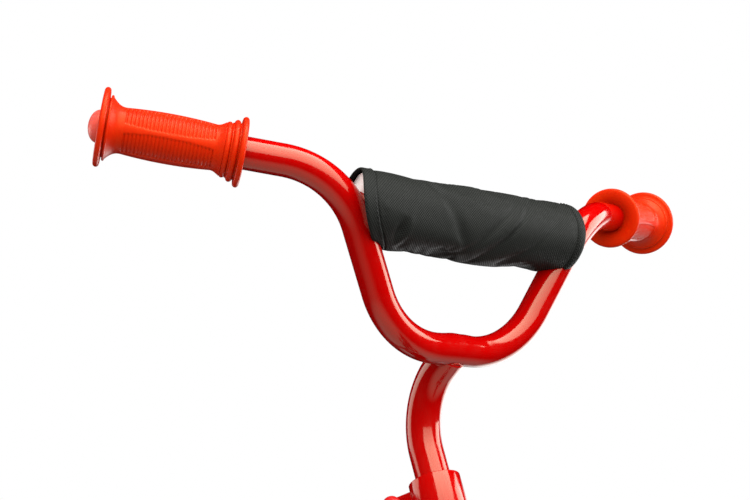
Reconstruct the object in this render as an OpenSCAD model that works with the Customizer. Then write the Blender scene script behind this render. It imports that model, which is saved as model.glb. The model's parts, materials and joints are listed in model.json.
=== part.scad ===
// Child's balance bike with 12 inch wheels: steel frame, curved stem, braced bar with a pad.
// Millimetres. +X points forwards, +Y to the rider's left and +Z up.
// The origin is on the ground, midway between the two tyres.

/* [Layout] */
// Distance between the two axles
wheelbase = 570; // [560:1:590]
// Angle of the steering axis from the ground, in degrees
head_angle = 67.5; // [67:0.5:69]
// Distance of the front axle ahead of the steering axis
rake = 20; // [16:1:24]
// Length of the head tube
head_len = 76; // [72:1:84]
// Half of the width over the two dropouts' middles
drop_half = 47; // [46:0.5:48]

/* [Handlebar] */
// Outer diameter of the bar
bar_d = 22.2; // [22:0.1:22.4]
// Wall of the bar, the stem and the other tubes
wall = 1.6; // [1.2:0.1:2]
// Rise of the bar from its bottom to its upper corners
bar_rise = 109.3; // [105:0.1:115]
// Forward lean of the risers over that rise
bar_lean = 20.3; // [18:0.1:22]
// Half width between the bar's lower corners
bar_low_half = 54.2; // [52:0.1:58]
// Half width between the bar's upper corners
bar_top_half = 112.6; // [110:0.1:116]
// Bend radius of the lower corners, on the centreline
low_bend_r = 63; // [58:1:66]
// Bend radius of the upper corners, on the centreline
top_bend_r = 65; // [60:1:68]
// Backward sweep of the grips, in degrees
grip_sweep = 26.6; // [24:0.1:30]
// Upward slope of the grips, in degrees
grip_slope = 8; // [6:0.1:10]
// Distance of the bar's bottom ahead of the steering axis
bar_ahead = 55.3; // [54:0.1:57]
// Height of the bar's bottom over the stem collar, along the steering axis
bar_over_collar = 74.8; // [73:0.1:77]
// Diameter of the crossbar
cross_d = 16; // [14:0.5:18]
// Height of the crossbar over the bar's bottom
cross_h = 88.4; // [86:0.1:90]

/* [Grips and pad] */
// Distance from an upper corner of the bar to the grip's inner end
grip_start = 66; // [65:0.5:67]
// Length of a grip without its dome
grip_len = 95; // [94:0.5:97]
// Diameter of the grip's barrel
grip_d = 33; // [30:0.5:34]
// Diameter of the grip's outer flange
flange_d = 52.4; // [48:0.5:54]
// Diameter of the bar pad
pad_d = 53; // [50:0.5:54]
// Length of the bar pad
pad_len = 190; // [186:1:194]

/* [Stem] */
// Outer diameter of the stem and of the seatpost
stem_d = 25; // [24.8:0.1:25.2]
// Bend radius of the stem
stem_bend_r = 51.6; // [50:0.1:53]
// Height over the collar at which the stem's two straight stretches would meet
stem_corner_h = 60.1; // [59:0.1:61]
// Length of stem below the top of its collar
stem_in = 105; // [90:1:108]
// Outer diameter of the stem collar
collar_d = 37.2; // [36:0.2:38]
// Height of the stem collar
collar_h = 26; // [24:1:28]
// Turn of the collar's ears from straight back towards the right, in degrees
ear_turn = 27; // [0:1:35]

/* [Frame] */
// Outer diameter of the steerer and of the seat tube
post_tube_d = 28.6; // [28.4:0.1:28.8]
// Outer diameter of the head tube
head_tube_d = 40; // [39:0.5:41]
// Outer diameter of the main tube
main_tube_d = 34; // [30:0.5:36]
// Height of the main tube's low stretch
main_low_z = 172; // [170:1:176]
// Position of the seat tube's foot along X
seat_foot_x = -97; // [-98:0.5:-96]
// Angle of the seat tube from the ground, in degrees
seat_angle = 76; // [75.5:0.5:76.5]
// Length of the seat tube
seat_tube_len = 157; // [155:1:162]
// Outer diameter of the rear stays
stay_d = 16; // [15:0.5:17]
// Outer diameter of the fork's blades
blade_d = 20; // [19:0.5:21]

/* [Wheels] */
// Outer radius of the tyre
wheel_r = 146; // [145:0.5:147]
// Width of the tyre
tyre_w = 45; // [44:0.5:46]
// Spokes in a wheel, a multiple of four
spoke_count = 16; // [12:4:20]
// Diameter of a spoke
spoke_d = 2; // [1.8:0.1:2.2]
// Radius of the hub's flanges
hub_flange_r = 22.5; // [22:0.1:23]
// Diameter of the axles
axle_d = 10; // [9.5:0.1:10]

/* [Saddle] */
// Length of the saddle
saddle_len = 232; // [220:2:240]
// Width of the saddle's back
saddle_w = 134; // [126:2:140]
// Height of the saddle's padding over its base
saddle_h = 42; // [38:1:46]

/* [Hidden] */
$fn = 64;

// Radial clearance of a part that slides or turns in a bore
running_gap = 0.05;
// Radial clearance of a part that must not touch the one inside it
free_gap = 0.3;
// Depth by which a cutting shape passes the face that it cuts
past = 1;
// A bend's wall is this much thicker on each side, and the straight tube ends this far inside it
bend_skin = 0.05;
bend_lap = 0.3;

// Steering axis: its foot is beside the front axle, and heights are counted up the axis from there
steer_foot = [wheelbase / 2 - rake * sin(head_angle), 0, wheel_r - rake * cos(head_angle)];
tyre_gap = 11.5;
arch_z = wheel_r + tyre_gap + blade_d / 2;
crown_r = 17.4;
crown_h = 8;
crown_top = arch_z + blade_d / 2 - 1.5;
lower_headset_h = 9;
upper_headset_h = 16;
head_z0 = crown_top + lower_headset_h;
head_z1 = head_z0 + head_len;
head_bore_r = 17;
collar_z0 = head_z1 + upper_headset_h;
collar_top = collar_z0 + collar_h;

// Headset
cup_r = 22;
cup_depth = 7;
cup_floor = 3.6;
crown_race_h = 1.2;
top_race_h = 3.6;
top_race_top = 11.4;
lock_nut_h = 4.4;
lock_nut_af = 36;
ball_r = 2;
ball_ring_r = 18;
balls = 20;

// Bar
bar_r = bar_d / 2;
bar_origin = steer_foot + (collar_top + bar_over_collar) * [-cos(head_angle), 0, sin(head_angle)]
    + bar_ahead * [sin(head_angle), 0, cos(head_angle)];
grip_dir = [
    -sin(grip_sweep) * cos(grip_slope),
    cos(grip_sweep) * cos(grip_slope),
    sin(grip_slope)
];
bar_end = grip_start + grip_len - 6;
upper_corner = [bar_lean, bar_top_half, bar_rise];
lower_corner = [0, bar_low_half, 0];
cross_x = bar_lean * cross_h / bar_rise;
cross_half = bar_low_half + (bar_top_half - bar_low_half) * cross_h / bar_rise;
pad_back = 2.7;

// Main tube
main_top = 32;
knee_x = 52;
knee_r = 110;

// Seat tube and its post
seat_foot = [seat_foot_x, 0, 148];
seat_plate_z = seat_tube_len + 18;
post_in = 125;

// Clamp collars: a lip over the tube's end, and the slit in that tube
lip_h = 3;
lip_gap = 0.2;
slit_half = 1.2;
slit_len = 30;

// Stays and dropouts
axle_z = wheel_r;
plate_t = 4;
stay_short = 38;
blade_short = 26;
tab_w = 12;
eyelet_r = 2.6;
eyelet_reach = 19;
lower_front = [-121, 0, 165];
upper_front = [-143, 0, 259];

// Wheel, counted from its centre
tyre_mid_r = wheel_r - tyre_w / 2;
casing_t = 3.2;
bead_r = 101.5;
bead_y = 10.2;
rim_bed_r = 95.5;
rim_lip_h = 6;
rim_inner_y = 13.2;
hub_half = 36;
hub_r = 11.5;
hub_shell_r = 15.6;
hub_bore_r = 7;
flange_y = 27;
flange_t = 3;
bearing_r = 13;
bearing_w = 8;
hole_r = 19.5;
lace_turn = 36;
elbow_gap = 1.8;
spoke_head_t = 1;
nipple_r = 1.8;
nipple_len = 11;

function unit(v) = v / norm(v);

// Length from a corner to the start of its bend
function tangent(a, b, c, r) = r * tan(acos(unit(b - a) * unit(c - b)) / 2);

// A right-handed set of axes whose third is the direction v
function axes_for(v) = let (
        z = unit(v),
        side = abs(z[2]) < 0.9 ? [0, 0, 1] : [1, 0, 0],
        x = unit(cross(side, z)),
        y = cross(z, x)
    ) [x, y, z];

// Moves the origin to p and turns X, Y and Z to the three given axes
module placed(p, x, y, z) {
    multmatrix([
        [x[0], y[0], z[0], p[0]],
        [x[1], y[1], z[1], p[1]],
        [x[2], y[2], z[2], p[2]],
        [0, 0, 0, 1]
    ]) children();
}

// Round bar from a to b, or a tube if it has a bore
module rod(a, b, r, bore = 0) {
    f = axes_for(b - a);
    h = norm(b - a);
    placed(a, f[0], f[1], f[2]) difference() {
        cylinder(h = h, r = r);
        if (bore > 0) translate([0, 0, -past]) cylinder(h = h + 2 * past, r = bore);
    }
}

// Bend at corner b between a and c, hollow if it has a bore
module elbow(a, b, c, bend_r, r, bore = 0) {
    u = unit(b - a);
    v = unit(c - b);
    w = unit(v - (u * v) * u);
    start = b - u * tangent(a, b, c, bend_r);
    placed(start + w * bend_r, -w, u, cross(u, w))
        rotate_extrude(angle = acos(u * v), $fn = 128) translate([bend_r, 0]) difference() {
            circle(r = r + bend_skin);
            if (bore > 0) circle(r = bore - bend_skin);
        }
}

// Round bar or tube along the points p, with a bend of radius bends[i] at each inner point
module bent_rod(p, bends, r, bore = 0) {
    last = len(p) - 1;
    cut = [for (i = [0:last]) i == 0 || i == last ? 0
        : tangent(p[i - 1], p[i], p[i + 1], bends[i - 1])];
    for (i = [0:last - 1]) {
        u = unit(p[i + 1] - p[i]);
        from = p[i] + u * (cut[i] - (i > 0 ? bend_lap : 0));
        to = p[i + 1] - u * (cut[i + 1] - (i + 1 < last ? bend_lap : 0));
        rod(from, to, r, bore);
        if (i > 0) elbow(p[i - 1], p[i], p[i + 1], bends[i - 1], r, bore);
    }
}

// Ring standing on z = 0
module ring(r, bore, h) {
    difference() {
        cylinder(h = h, r = r);
        translate([0, 0, -past]) cylinder(h = h + 2 * past, r = bore);
    }
}

// Hexagonal nut standing on z = 0, with width across flats af
module hex_nut(af, bore, h) {
    difference() {
        cylinder(h = h, r = af / 2 / cos(30), $fn = 6);
        translate([0, 0, -past]) cylinder(h = h + 2 * past, r = bore);
    }
}

// Steering frame: Z up the steering axis, X forwards
module steered() {
    translate(steer_foot) rotate([0, head_angle - 90, 0]) children();
}

// Seat tube frame: Z up the seat tube, X forwards
module seated() {
    translate(seat_foot) rotate([0, seat_angle - 90, 0]) children();
}

// Bar frame: the middle of the bar's bottom
module on_bar() {
    translate(bar_origin) children();
}

module at_front_wheel() {
    translate([wheelbase / 2, 0, axle_z]) children();
}

module at_rear_wheel() {
    translate([-wheelbase / 2, 0, axle_z]) children();
}

// Turns a shape on the Z axis to lie on the Y axis, with +Z going to side * Y
module along_y(side) {
    rotate([-90 * side, 0, 0]) children();
}

module both_sides() {
    for (side = [-1, 1]) along_y(side) children();
}

// ---- Handlebar ----

bar_path = [
    let (c = upper_corner + bar_end * grip_dir) [c[0], -c[1], c[2]],
    [upper_corner[0], -upper_corner[1], upper_corner[2]],
    [lower_corner[0], -lower_corner[1], lower_corner[2]],
    lower_corner,
    upper_corner,
    upper_corner + bar_end * grip_dir
];
bar_bends = [top_bend_r, low_bend_r, low_bend_r, top_bend_r];

// Bar or tube of radius r along the bar's centreline
module bar_line(r, bore = 0) {
    bent_rod(bar_path, bar_bends, r, bore);
}

module handlebar() color([0.86, 0.02, 0.02]) on_bar() bar_line(bar_r, bar_r - wall);

module crossbar() color([0.86, 0.02, 0.02]) on_bar() {
    a = [cross_x, -cross_half, cross_h];
    b = [cross_x, cross_half, cross_h];
    difference() {
        rod(a, b, cross_d / 2);
        rod(a, b, cross_d / 2 - wall);
        bar_line(bar_r);
    }
}

module stem() color([0.86, 0.02, 0.02]) difference() {
    corner = [0, 0, collar_top + stem_corner_h];
    bar_at = [bar_ahead, 0, collar_top + bar_over_collar];
    steered() bent_rod([
        [0, 0, collar_top - stem_in],
        corner,
        bar_at - 3 * unit(bar_at - corner)
    ], [stem_bend_r], stem_d / 2, stem_d / 2 - wall);
    on_bar() rod([0, -40, 0], [0, 40, 0], bar_r);
}

// Grip, counted outwards along the bar from the upper corner
module grip(side) {
    z0 = grip_start;
    z1 = grip_start + grip_len;
    fr = flange_d / 2;
    br = grip_d / 2;
    out = [grip_dir[0], side * grip_dir[1], grip_dir[2]];
    f = axes_for(out);
    corner = [upper_corner[0], side * upper_corner[1], upper_corner[2]];
    on_bar() placed(corner, f[0], f[1], f[2]) rotate_extrude() polygon([
        [bar_r, z0],
        [fr - 4, z0],
        [fr - 3, z0 + 1],
        [fr - 3, z0 + 3],
        [fr - 4, z0 + 4],
        [br + 2, z0 + 5],
        [fr - 6, z0 + 6.5],
        [fr - 6, z0 + 9],
        [br + 0.6, z0 + 11],
        [br + 1.6, z0 + 13],
        [br + 1.6, z0 + 15],
        [br, z0 + 17],
        [br, z1 - 16],
        [br + 2, z1 - 9],
        [fr - 5.2, z1 - 7.5],
        [fr - 5.2, z1 - 6],
        [br + 3.5, z1 - 4.6],
        [fr - 1, z1 - 3.6],
        [fr, z1 - 2.6],
        [fr, z1 - 1],
        [fr - 1, z1],
        [13, z1],
        [12, z1 + 3],
        [9, z1 + 6],
        [4.5, z1 + 7.6],
        [0, z1 + 8],
        [0, bar_end + 0.5],
        [bar_r, bar_end + 0.5]
    ]);
}

module grip_left() color([1, 0.25, 0.06]) grip(1);

module grip_right() color([1, 0.25, 0.06]) grip(-1);

// Rod of radius r and half length half along the pad's middle
module pad_rod(r, half) {
    x = cross_x - pad_back;
    rod([x, -half, cross_h], [x, half, cross_h], r);
}

module bar_pad_foam() color([0.86, 0.8, 0.8]) on_bar() difference() {
    pad_rod(pad_d / 2 - 1.2, pad_len / 2 - 4);
    rod([cross_x, -pad_len, cross_h], [cross_x, pad_len, cross_h], cross_d / 2);
    bar_line(bar_r + free_gap);
}

module bar_pad_cover() color([0.1, 0.1, 0.1]) on_bar() difference() {
    pad_rod(pad_d / 2, pad_len / 2);
    pad_rod(pad_d / 2 - 1.2, pad_len / 2 + past);
    bar_line(bar_r + free_gap);
}

// ---- Clamp collars ----

// Collar that pinches a slit tube, with a lip over the tube's end and ears that point to -X
module pinch_collar(r, h, half, bolt_x, bolt_z) {
    split_half = 1.5;
    ear_r = 6;
    ear_h = 11.2;
    difference() {
        union() {
            cylinder(h = h, r = r);
            translate([-bolt_x, -half, bolt_z - ear_h / 2]) cube([bolt_x, 2 * half, ear_h]);
            translate([-bolt_x, -half, bolt_z]) along_y(1) cylinder(h = 2 * half, r = ear_r);
        }
        translate([0, 0, -past]) cylinder(h = h - lip_h + past, r = post_tube_d / 2);
        translate([0, 0, -past]) cylinder(h = h + 2 * past, r = stem_d / 2 + free_gap);
        translate([-bolt_x - 2 * ear_r, -split_half, -past])
            cube([bolt_x + 2 * ear_r, 2 * split_half, h + 2 * past]);
        translate([-bolt_x, -half - past, bolt_z]) along_y(1)
            cylinder(h = 2 * (half + past), r = clamp_bolt_r + running_gap);
    }
}

// Pinch bolt along Y, its head at -Y
module pinch_bolt(r, half, head_af, head_h, tail) {
    translate([0, -half, 0]) along_y(1) cylinder(h = 2 * half + tail, r = r);
    translate([0, -half - head_h, 0]) along_y(1) cylinder(h = head_h, r = head_af / 2 / cos(30), $fn = 6);
}

ear_half = 10;
clamp_bolt_r = 3;
clamp_bolt_x = 31.4;
clamp_bolt_z = collar_h - 10.2;
clamp_head_h = 4;
clamp_nut_h = 5;
clamp_af = 10;
// Places a shape in the stem collar's own frame, with its ears at -X
module in_stem_collar() {
    steered() translate([0, 0, collar_z0]) rotate([0, 0, ear_turn]) children();
}

module stem_collar() color([0.86, 0.02, 0.02]) in_stem_collar() {
    pinch_collar(collar_d / 2, collar_h, ear_half, clamp_bolt_x, clamp_bolt_z);
}

module stem_clamp_bolt() color([0.75, 0.75, 0.77]) in_stem_collar() {
    translate([-clamp_bolt_x, 0, clamp_bolt_z])
        pinch_bolt(clamp_bolt_r, ear_half, clamp_af, clamp_head_h, clamp_nut_h + 1);
}

module stem_clamp_nut() color([0.75, 0.75, 0.77]) in_stem_collar() {
    translate([-clamp_bolt_x, ear_half, clamp_bolt_z]) along_y(1)
        hex_nut(clamp_af, clamp_bolt_r + running_gap, clamp_nut_h);
}

// Profile points [r, z] of a dome of height h over a rim of radius r at height z
function dome(r, z, h) = [for (a = [0:7.5:82.5]) [r * cos(a), z + h * sin(a)]];

// Domed cap over the bolt's head
module stem_clamp_cap() color([0.86, 0.02, 0.02]) in_stem_collar() {
    cap_r = 7.3;
    rim_h = 2.4;
    dome_h = 4.4;
    inner_r = clamp_af / 2 / cos(30) + 0.1;
    inner_h = clamp_head_h + 0.2;
    translate([-clamp_bolt_x, -ear_half, clamp_bolt_z]) along_y(-1) rotate_extrude() polygon(concat(
        [[inner_r, 0], [cap_r, 0]],
        dome(cap_r, rim_h, dome_h),
        [[0, rim_h + dome_h], [0, inner_h], [inner_r, inner_h]]
    ));
}

seat_collar_r = 17;
seat_collar_h = 22;
seat_bolt_x = 25;
seat_ear_half = 8;
seat_bolt_z = 11;
module in_seat_clamp() {
    seated() translate([0, 0, seat_tube_len + lip_h - seat_collar_h]) children();
}

module seat_clamp() color([0.86, 0.02, 0.02]) in_seat_clamp() {
    pinch_collar(seat_collar_r, seat_collar_h, seat_ear_half, seat_bolt_x, seat_bolt_z);
}

module seat_clamp_bolt() color([0.75, 0.75, 0.77]) in_seat_clamp() {
    translate([-seat_bolt_x, 0, seat_bolt_z])
        pinch_bolt(clamp_bolt_r, seat_ear_half, clamp_af, clamp_head_h, clamp_nut_h + 1);
}

module seat_clamp_nut() color([0.75, 0.75, 0.77]) in_seat_clamp() {
    translate([-seat_bolt_x, seat_ear_half, seat_bolt_z]) along_y(1)
        hex_nut(clamp_af, clamp_bolt_r + running_gap, clamp_nut_h);
}

// ---- Fork ----

// Centre line of the arch: from its top down to beside the axle, in the steering frame
fork_down = unit([rake, 0, -arch_z]);
fork_leg = norm([rake, 0, -arch_z]);

// Straight leg of length h from z = 0, and its tapered closed end
module nosed_leg(h, r) {
    rotate_extrude() polygon([
        [0, -bend_lap],
        [r, -bend_lap],
        [r, h],
        [r - 2.5, h + 5],
        [r - 5, h + 7.5],
        [0, h + 7.5]
    ]);
}

// Hairpin of rod radius r around the tyre: its front is at the origin and its two legs run along +X
module hairpin(leg, r, skin) {
    translate([drop_half, 0, 0]) rotate([0, 0, 90])
        rotate_extrude(angle = 180, $fn = 128) translate([drop_half, 0]) circle(r = r + skin);
    for (side = [-1, 1]) translate([drop_half, side * drop_half, 0]) rotate([0, 90, 0])
        nosed_leg(leg, r);
}

// The fork's arch over the tyre with its two legs: the outside, or the bore inside it
module fork_arch(r, short, skin) {
    steered() placed([0, 0, arch_z], fork_down, [0, 1, 0], cross(fork_down, [0, 1, 0]))
        hairpin(fork_leg - drop_half - short, r, skin);
}

// Flat plate that holds an axle: side picks the left (1) or the right (-1)
// tabs are directions of the tabs that go up into the tubes, and eyelet is the direction of the small ear
module dropout(side, tabs, reach, eyelet, slot) {
    disc_r = 14;
    eyelet_w = 10;
    translate([0, side * drop_half, 0]) rotate([90, 0, 0])
        translate([0, 0, -plate_t / 2]) linear_extrude(plate_t) difference() {
            union() {
                circle(r = disc_r);
                for (a = tabs) rotate(a) translate([0, -tab_w / 2]) square([reach, tab_w]);
                rotate(eyelet) translate([0, -eyelet_w / 2]) square([eyelet_reach, eyelet_w]);
                rotate(eyelet) translate([eyelet_reach, 0]) circle(r = eyelet_w / 2 + 1);
            }
            circle(r = axle_d / 2 + 0.2);
            rotate(slot) translate([0, -axle_d / 2]) square([disc_r + past, axle_d]);
            rotate(eyelet) translate([eyelet_reach, 0]) circle(r = eyelet_r);
        }
}

// Angle in the XZ plane of the way from the axle at x to the point p
function from_axle(x, p) = atan2(p[2] - axle_z, p[0] - x);

arch_top = steer_foot + arch_z * [-cos(head_angle), 0, sin(head_angle)];

module fork_dropout(side) {
    at_front_wheel()
        dropout(side, tabs = [from_axle(wheelbase / 2, arch_top)], reach = 44, eyelet = 178, slot = -90);
}

module fork_dropout_left() color([0.86, 0.02, 0.02]) fork_dropout(1);

module fork_dropout_right() color([0.86, 0.02, 0.02]) fork_dropout(-1);

module fork_blades() color([0.86, 0.02, 0.02]) difference() {
    fork_arch(blade_d / 2, blade_short, bend_skin);
    fork_arch(blade_d / 2 - wall, blade_short + 6, -bend_skin);
    for (side = [-1, 1]) fork_dropout(side);
}

module fork_crown() color([0.86, 0.02, 0.02]) difference() {
    steered() translate([0, 0, crown_top - crown_h]) ring(crown_r, post_tube_d / 2, crown_h);
    fork_arch(blade_d / 2, blade_short, bend_skin);
}

// Slit of a clamped tube's upper end, standing on z = 0 and open to -X
module end_slit() {
    translate([-post_tube_d, -slit_half, 0]) cube([post_tube_d, 2 * slit_half, slit_len + lip_h]);
}

module steerer_tube() color([0.86, 0.02, 0.02]) difference() {
    steered() difference() {
        translate([0, 0, arch_z]) cylinder(h = collar_top - lip_h - lip_gap - arch_z, r = post_tube_d / 2);
        translate([0, 0, arch_z - past]) cylinder(h = collar_top - arch_z, r = stem_d / 2 + running_gap);
        translate([0, 0, collar_top - lip_h - slit_len]) rotate([0, 0, ear_turn]) end_slit();
    }
    fork_arch(blade_d / 2, blade_short, bend_skin);
}

// ---- Headset, in the steering frame ----

// Cup with its pressed-in skirt upwards, its flange's top face on z = 0
module headset_cup() {
    rotate_extrude() polygon([
        [post_tube_d / 2 + 1, 7],
        [head_bore_r, 7],
        [head_bore_r, 0],
        [cup_r - 1, 0],
        [cup_r, -1],
        [cup_r, -cup_depth],
        [cup_r - 1.4, -cup_depth],
        [cup_r - 1.4, -cup_depth + cup_floor],
        [post_tube_d / 2 + 1, -cup_depth + cup_floor]
    ]);
}

// Ball ring with its cage, the balls' centres on z = 0
module ball_ring() {
    for (i = [0:balls - 1]) rotate([0, 0, i * 360 / balls]) translate([ball_ring_r, 0, 0])
        sphere(r = ball_r, $fn = 24);
    translate([0, 0, -0.4]) ring(ball_ring_r + 0.9, ball_ring_r - 0.9, 0.8);
}

// Race with a shallow cone, standing on z = 0
module race(r, h) {
    bore = post_tube_d / 2;
    rotate_extrude() polygon([[bore, 0], [r, 0], [r, h - 0.6], [bore + 2, h], [bore, h]]);
}

ball_to_flange = cup_depth - cup_floor + ball_r + 0.1;

module lower_cup() color([0.8, 0.8, 0.82]) steered() translate([0, 0, head_z0]) headset_cup();

module upper_cup() color([0.8, 0.8, 0.82]) steered()
    translate([0, 0, head_z1]) mirror([0, 0, 1]) headset_cup();

module lower_ball_ring() color([0.7, 0.7, 0.72]) steered()
    translate([0, 0, head_z0 - ball_to_flange]) ball_ring();

module upper_ball_ring() color([0.7, 0.7, 0.72]) steered()
    translate([0, 0, head_z1 + ball_to_flange]) ball_ring();

module crown_race() color([0.8, 0.8, 0.82]) steered()
    translate([0, 0, crown_top]) race(crown_r + 1.2, crown_race_h);

module top_race() color([0.8, 0.8, 0.82]) steered()
    translate([0, 0, head_z1 + top_race_top]) mirror([0, 0, 1]) race(cup_r - 2, top_race_h);

module lock_nut() color([0.8, 0.8, 0.82]) steered()
    translate([0, 0, head_z1 + top_race_top + 0.1]) hex_nut(lock_nut_af, post_tube_d / 2, lock_nut_h);

// ---- Frame ----

module head_tube() color([0.86, 0.02, 0.02]) steered() translate([0, 0, head_z0])
    ring(head_tube_d / 2, head_bore_r, head_len);

module main_tube() color([0.86, 0.02, 0.02]) difference() {
    from = steer_foot + (head_z0 + main_top) * [-cos(head_angle), 0, sin(head_angle)];
    knee = [knee_x, 0, main_low_z];
    to = [seat_foot[0], 0, main_low_z];
    bent_rod([from, knee, to], [knee_r], main_tube_d / 2, main_tube_d / 2 - wall);
    steered() translate([0, 0, head_z0]) cylinder(h = head_len, r = head_tube_d / 2);
    seated() cylinder(h = seat_tube_len, r = post_tube_d / 2);
}

module seat_tube() color([0.86, 0.02, 0.02]) seated() difference() {
    cylinder(h = seat_tube_len, r = post_tube_d / 2);
    translate([0, 0, -past]) cylinder(h = seat_tube_len + 2 * past, r = stem_d / 2 + running_gap);
    translate([0, 0, seat_tube_len - slit_len]) end_slit();
}

// Moulded plug in the foot of the seat tube
module seat_tube_plug() color([0.08, 0.08, 0.08]) seated() {
    flange_h = 3;
    translate([0, 0, -flange_h]) cylinder(h = flange_h, r = post_tube_d / 2 + 0.6);
    cylinder(h = 12, r = stem_d / 2);
}

module rear_dropout(side) {
    tabs = [for (p = [lower_front, upper_front]) from_axle(-wheelbase / 2, p)];
    at_rear_wheel() dropout(side, tabs, reach = 50, eyelet = 100, slot = 200);
}

// Places a hairpin with its front at the given point and its legs towards the rear axle
module stay_loop(front, r, short, skin) {
    to_axle = [-wheelbase / 2, 0, axle_z] - front;
    u = unit(to_axle);
    placed(front, u, [0, 1, 0], cross(u, [0, 1, 0]))
        hairpin(norm(to_axle) - short - drop_half, r, skin);
}

module stays(front) {
    difference() {
        stay_loop(front, stay_d / 2, stay_short, bend_skin);
        stay_loop(front, stay_d / 2 - wall, stay_short + 5, -bend_skin);
        seated() translate([0, 0, -5]) cylinder(h = seat_tube_len + 10, r = post_tube_d / 2);
        for (side = [-1, 1]) rear_dropout(side);
    }
}

module lower_stays() color([0.86, 0.02, 0.02]) stays(lower_front);

module upper_stays() color([0.86, 0.02, 0.02]) stays(upper_front);

module rear_dropout_left() color([0.86, 0.02, 0.02]) rear_dropout(1);

module rear_dropout_right() color([0.86, 0.02, 0.02]) rear_dropout(-1);

// ---- Axle sets, about the wheel's centre ----

plate_out = drop_half + plate_t / 2;
plate_in = drop_half - plate_t / 2;
washer_t = 1.6;
nut_h = 8;
nut_af = 15;
axle_half = plate_out + washer_t + nut_h + 2;

module axle() {
    translate([0, -axle_half, 0]) along_y(1) cylinder(h = 2 * axle_half, r = axle_d / 2);
}

module axle_spacers() {
    both_sides() translate([0, 0, hub_half + free_gap])
        ring(8, axle_d / 2 + running_gap, plate_in - hub_half - free_gap);
}

module washers() {
    both_sides() translate([0, 0, plate_out]) ring(11, axle_d / 2 + running_gap, washer_t);
}

module axle_nuts() {
    both_sides() translate([0, 0, plate_out + washer_t]) hex_nut(nut_af, axle_d / 2 + running_gap, nut_h);
}

// Domed caps over the axle nuts
module nut_caps() {
    r = 13;
    inner_r = 10;
    base = plate_out + washer_t;
    both_sides() translate([0, 0, base]) rotate_extrude() polygon(concat(
        [[inner_r, 0], [r, 0]],
        dome(r, 6, 9),
        [[0, 15], [0, 12.5], [inner_r, 11]]
    ));
}

module front_axle() color([0.75, 0.75, 0.77]) at_front_wheel() axle();
module rear_axle() color([0.75, 0.75, 0.77]) at_rear_wheel() axle();
module front_axle_spacers() color([0.75, 0.75, 0.77]) at_front_wheel() axle_spacers();
module rear_axle_spacers() color([0.75, 0.75, 0.77]) at_rear_wheel() axle_spacers();
module front_washers() color([0.75, 0.75, 0.77]) at_front_wheel() washers();
module rear_washers() color([0.75, 0.75, 0.77]) at_rear_wheel() washers();
module front_axle_nuts() color([0.75, 0.75, 0.77]) at_front_wheel() axle_nuts();
module rear_axle_nuts() color([0.75, 0.75, 0.77]) at_rear_wheel() axle_nuts();
module front_nut_caps() color([0.86, 0.02, 0.02]) at_front_wheel() nut_caps();
module rear_nut_caps() color([0.86, 0.02, 0.02]) at_rear_wheel() nut_caps();

// ---- Wheels, about the wheel's centre, with the axle on Y ----

// Mirrors a profile [r, y] of one half of the section and joins both halves
function both_halves(p) = concat(p, [for (i = [len(p) - 1:-1:0]) [p[i][0], -p[i][1]]]);

module tyre() {
    wire_r = 2.2;
    rim_room = [rim_lip_h + 10.7, tyre_w];
    along_y(1) rotate_extrude($fn = 128) difference() {
        union() {
            translate([tyre_mid_r, 0]) circle(r = tyre_w / 2);
            for (s = [-1, 1]) translate([bead_r + wire_r + 0.2, s * bead_y]) circle(r = wire_r, $fn = 24);
        }
        translate([tyre_mid_r, 0]) circle(r = tyre_w / 2 - casing_t);
        translate([bead_r - 10, wire_r - bead_y]) square([20, 2 * (bead_y - wire_r)]);
        for (s = [-1, 1]) translate([bead_r - 10 + rim_room[0] / 2, s * (rim_inner_y - 0.2 + tyre_w / 2)])
            square(rim_room, center = true);
    }
}

module inner_tube() {
    r = tyre_w / 2 - casing_t - 0.4;
    along_y(1) rotate_extrude($fn = 128) translate([tyre_mid_r, 0]) difference() {
        circle(r = r);
        circle(r = r - 1.2);
    }
    // Valve, pointing at the hub between two spokes
    rotate([0, 180 / spoke_count, 0]) {
        translate([0, 0, -(tyre_mid_r - r + 0.6)]) cylinder(h = 34, r = 4);
        translate([0, 0, -(tyre_mid_r - r + 0.6) + 34]) cylinder(h = 4, r1 = 4, r2 = 3);
    }
}

module rim() {
    difference() {
        along_y(1) rotate_extrude($fn = 128) polygon(both_halves([
            [rim_bed_r, 6.5],
            [bead_r - 2.2, 9.5],
            [bead_r - 2, rim_inner_y + 1.4],
            [bead_r + rim_lip_h - 1, rim_inner_y + 2.2],
            [bead_r + rim_lip_h, rim_inner_y + 1.6],
            [bead_r + rim_lip_h - 0.4, rim_inner_y + 0.4],
            [bead_r, rim_inner_y],
            [bead_r, 7.5],
            [rim_bed_r + 2, 5.5]
        ]));
        for (i = [0:spoke_count - 1]) rotate([0, i * 360 / spoke_count, 0])
            translate([0, 0, rim_bed_r - 3]) cylinder(h = 8, r = 2.5);
        rotate([0, 180 / spoke_count, 0]) translate([0, 0, -rim_bed_r - 5]) cylinder(h = 8, r = 4.3);
    }
}

// Point at radius r, angle a about Y from +Z, and place y along the axle
function around(r, a, y) = [r * sin(a), y, r * cos(a)];

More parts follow.
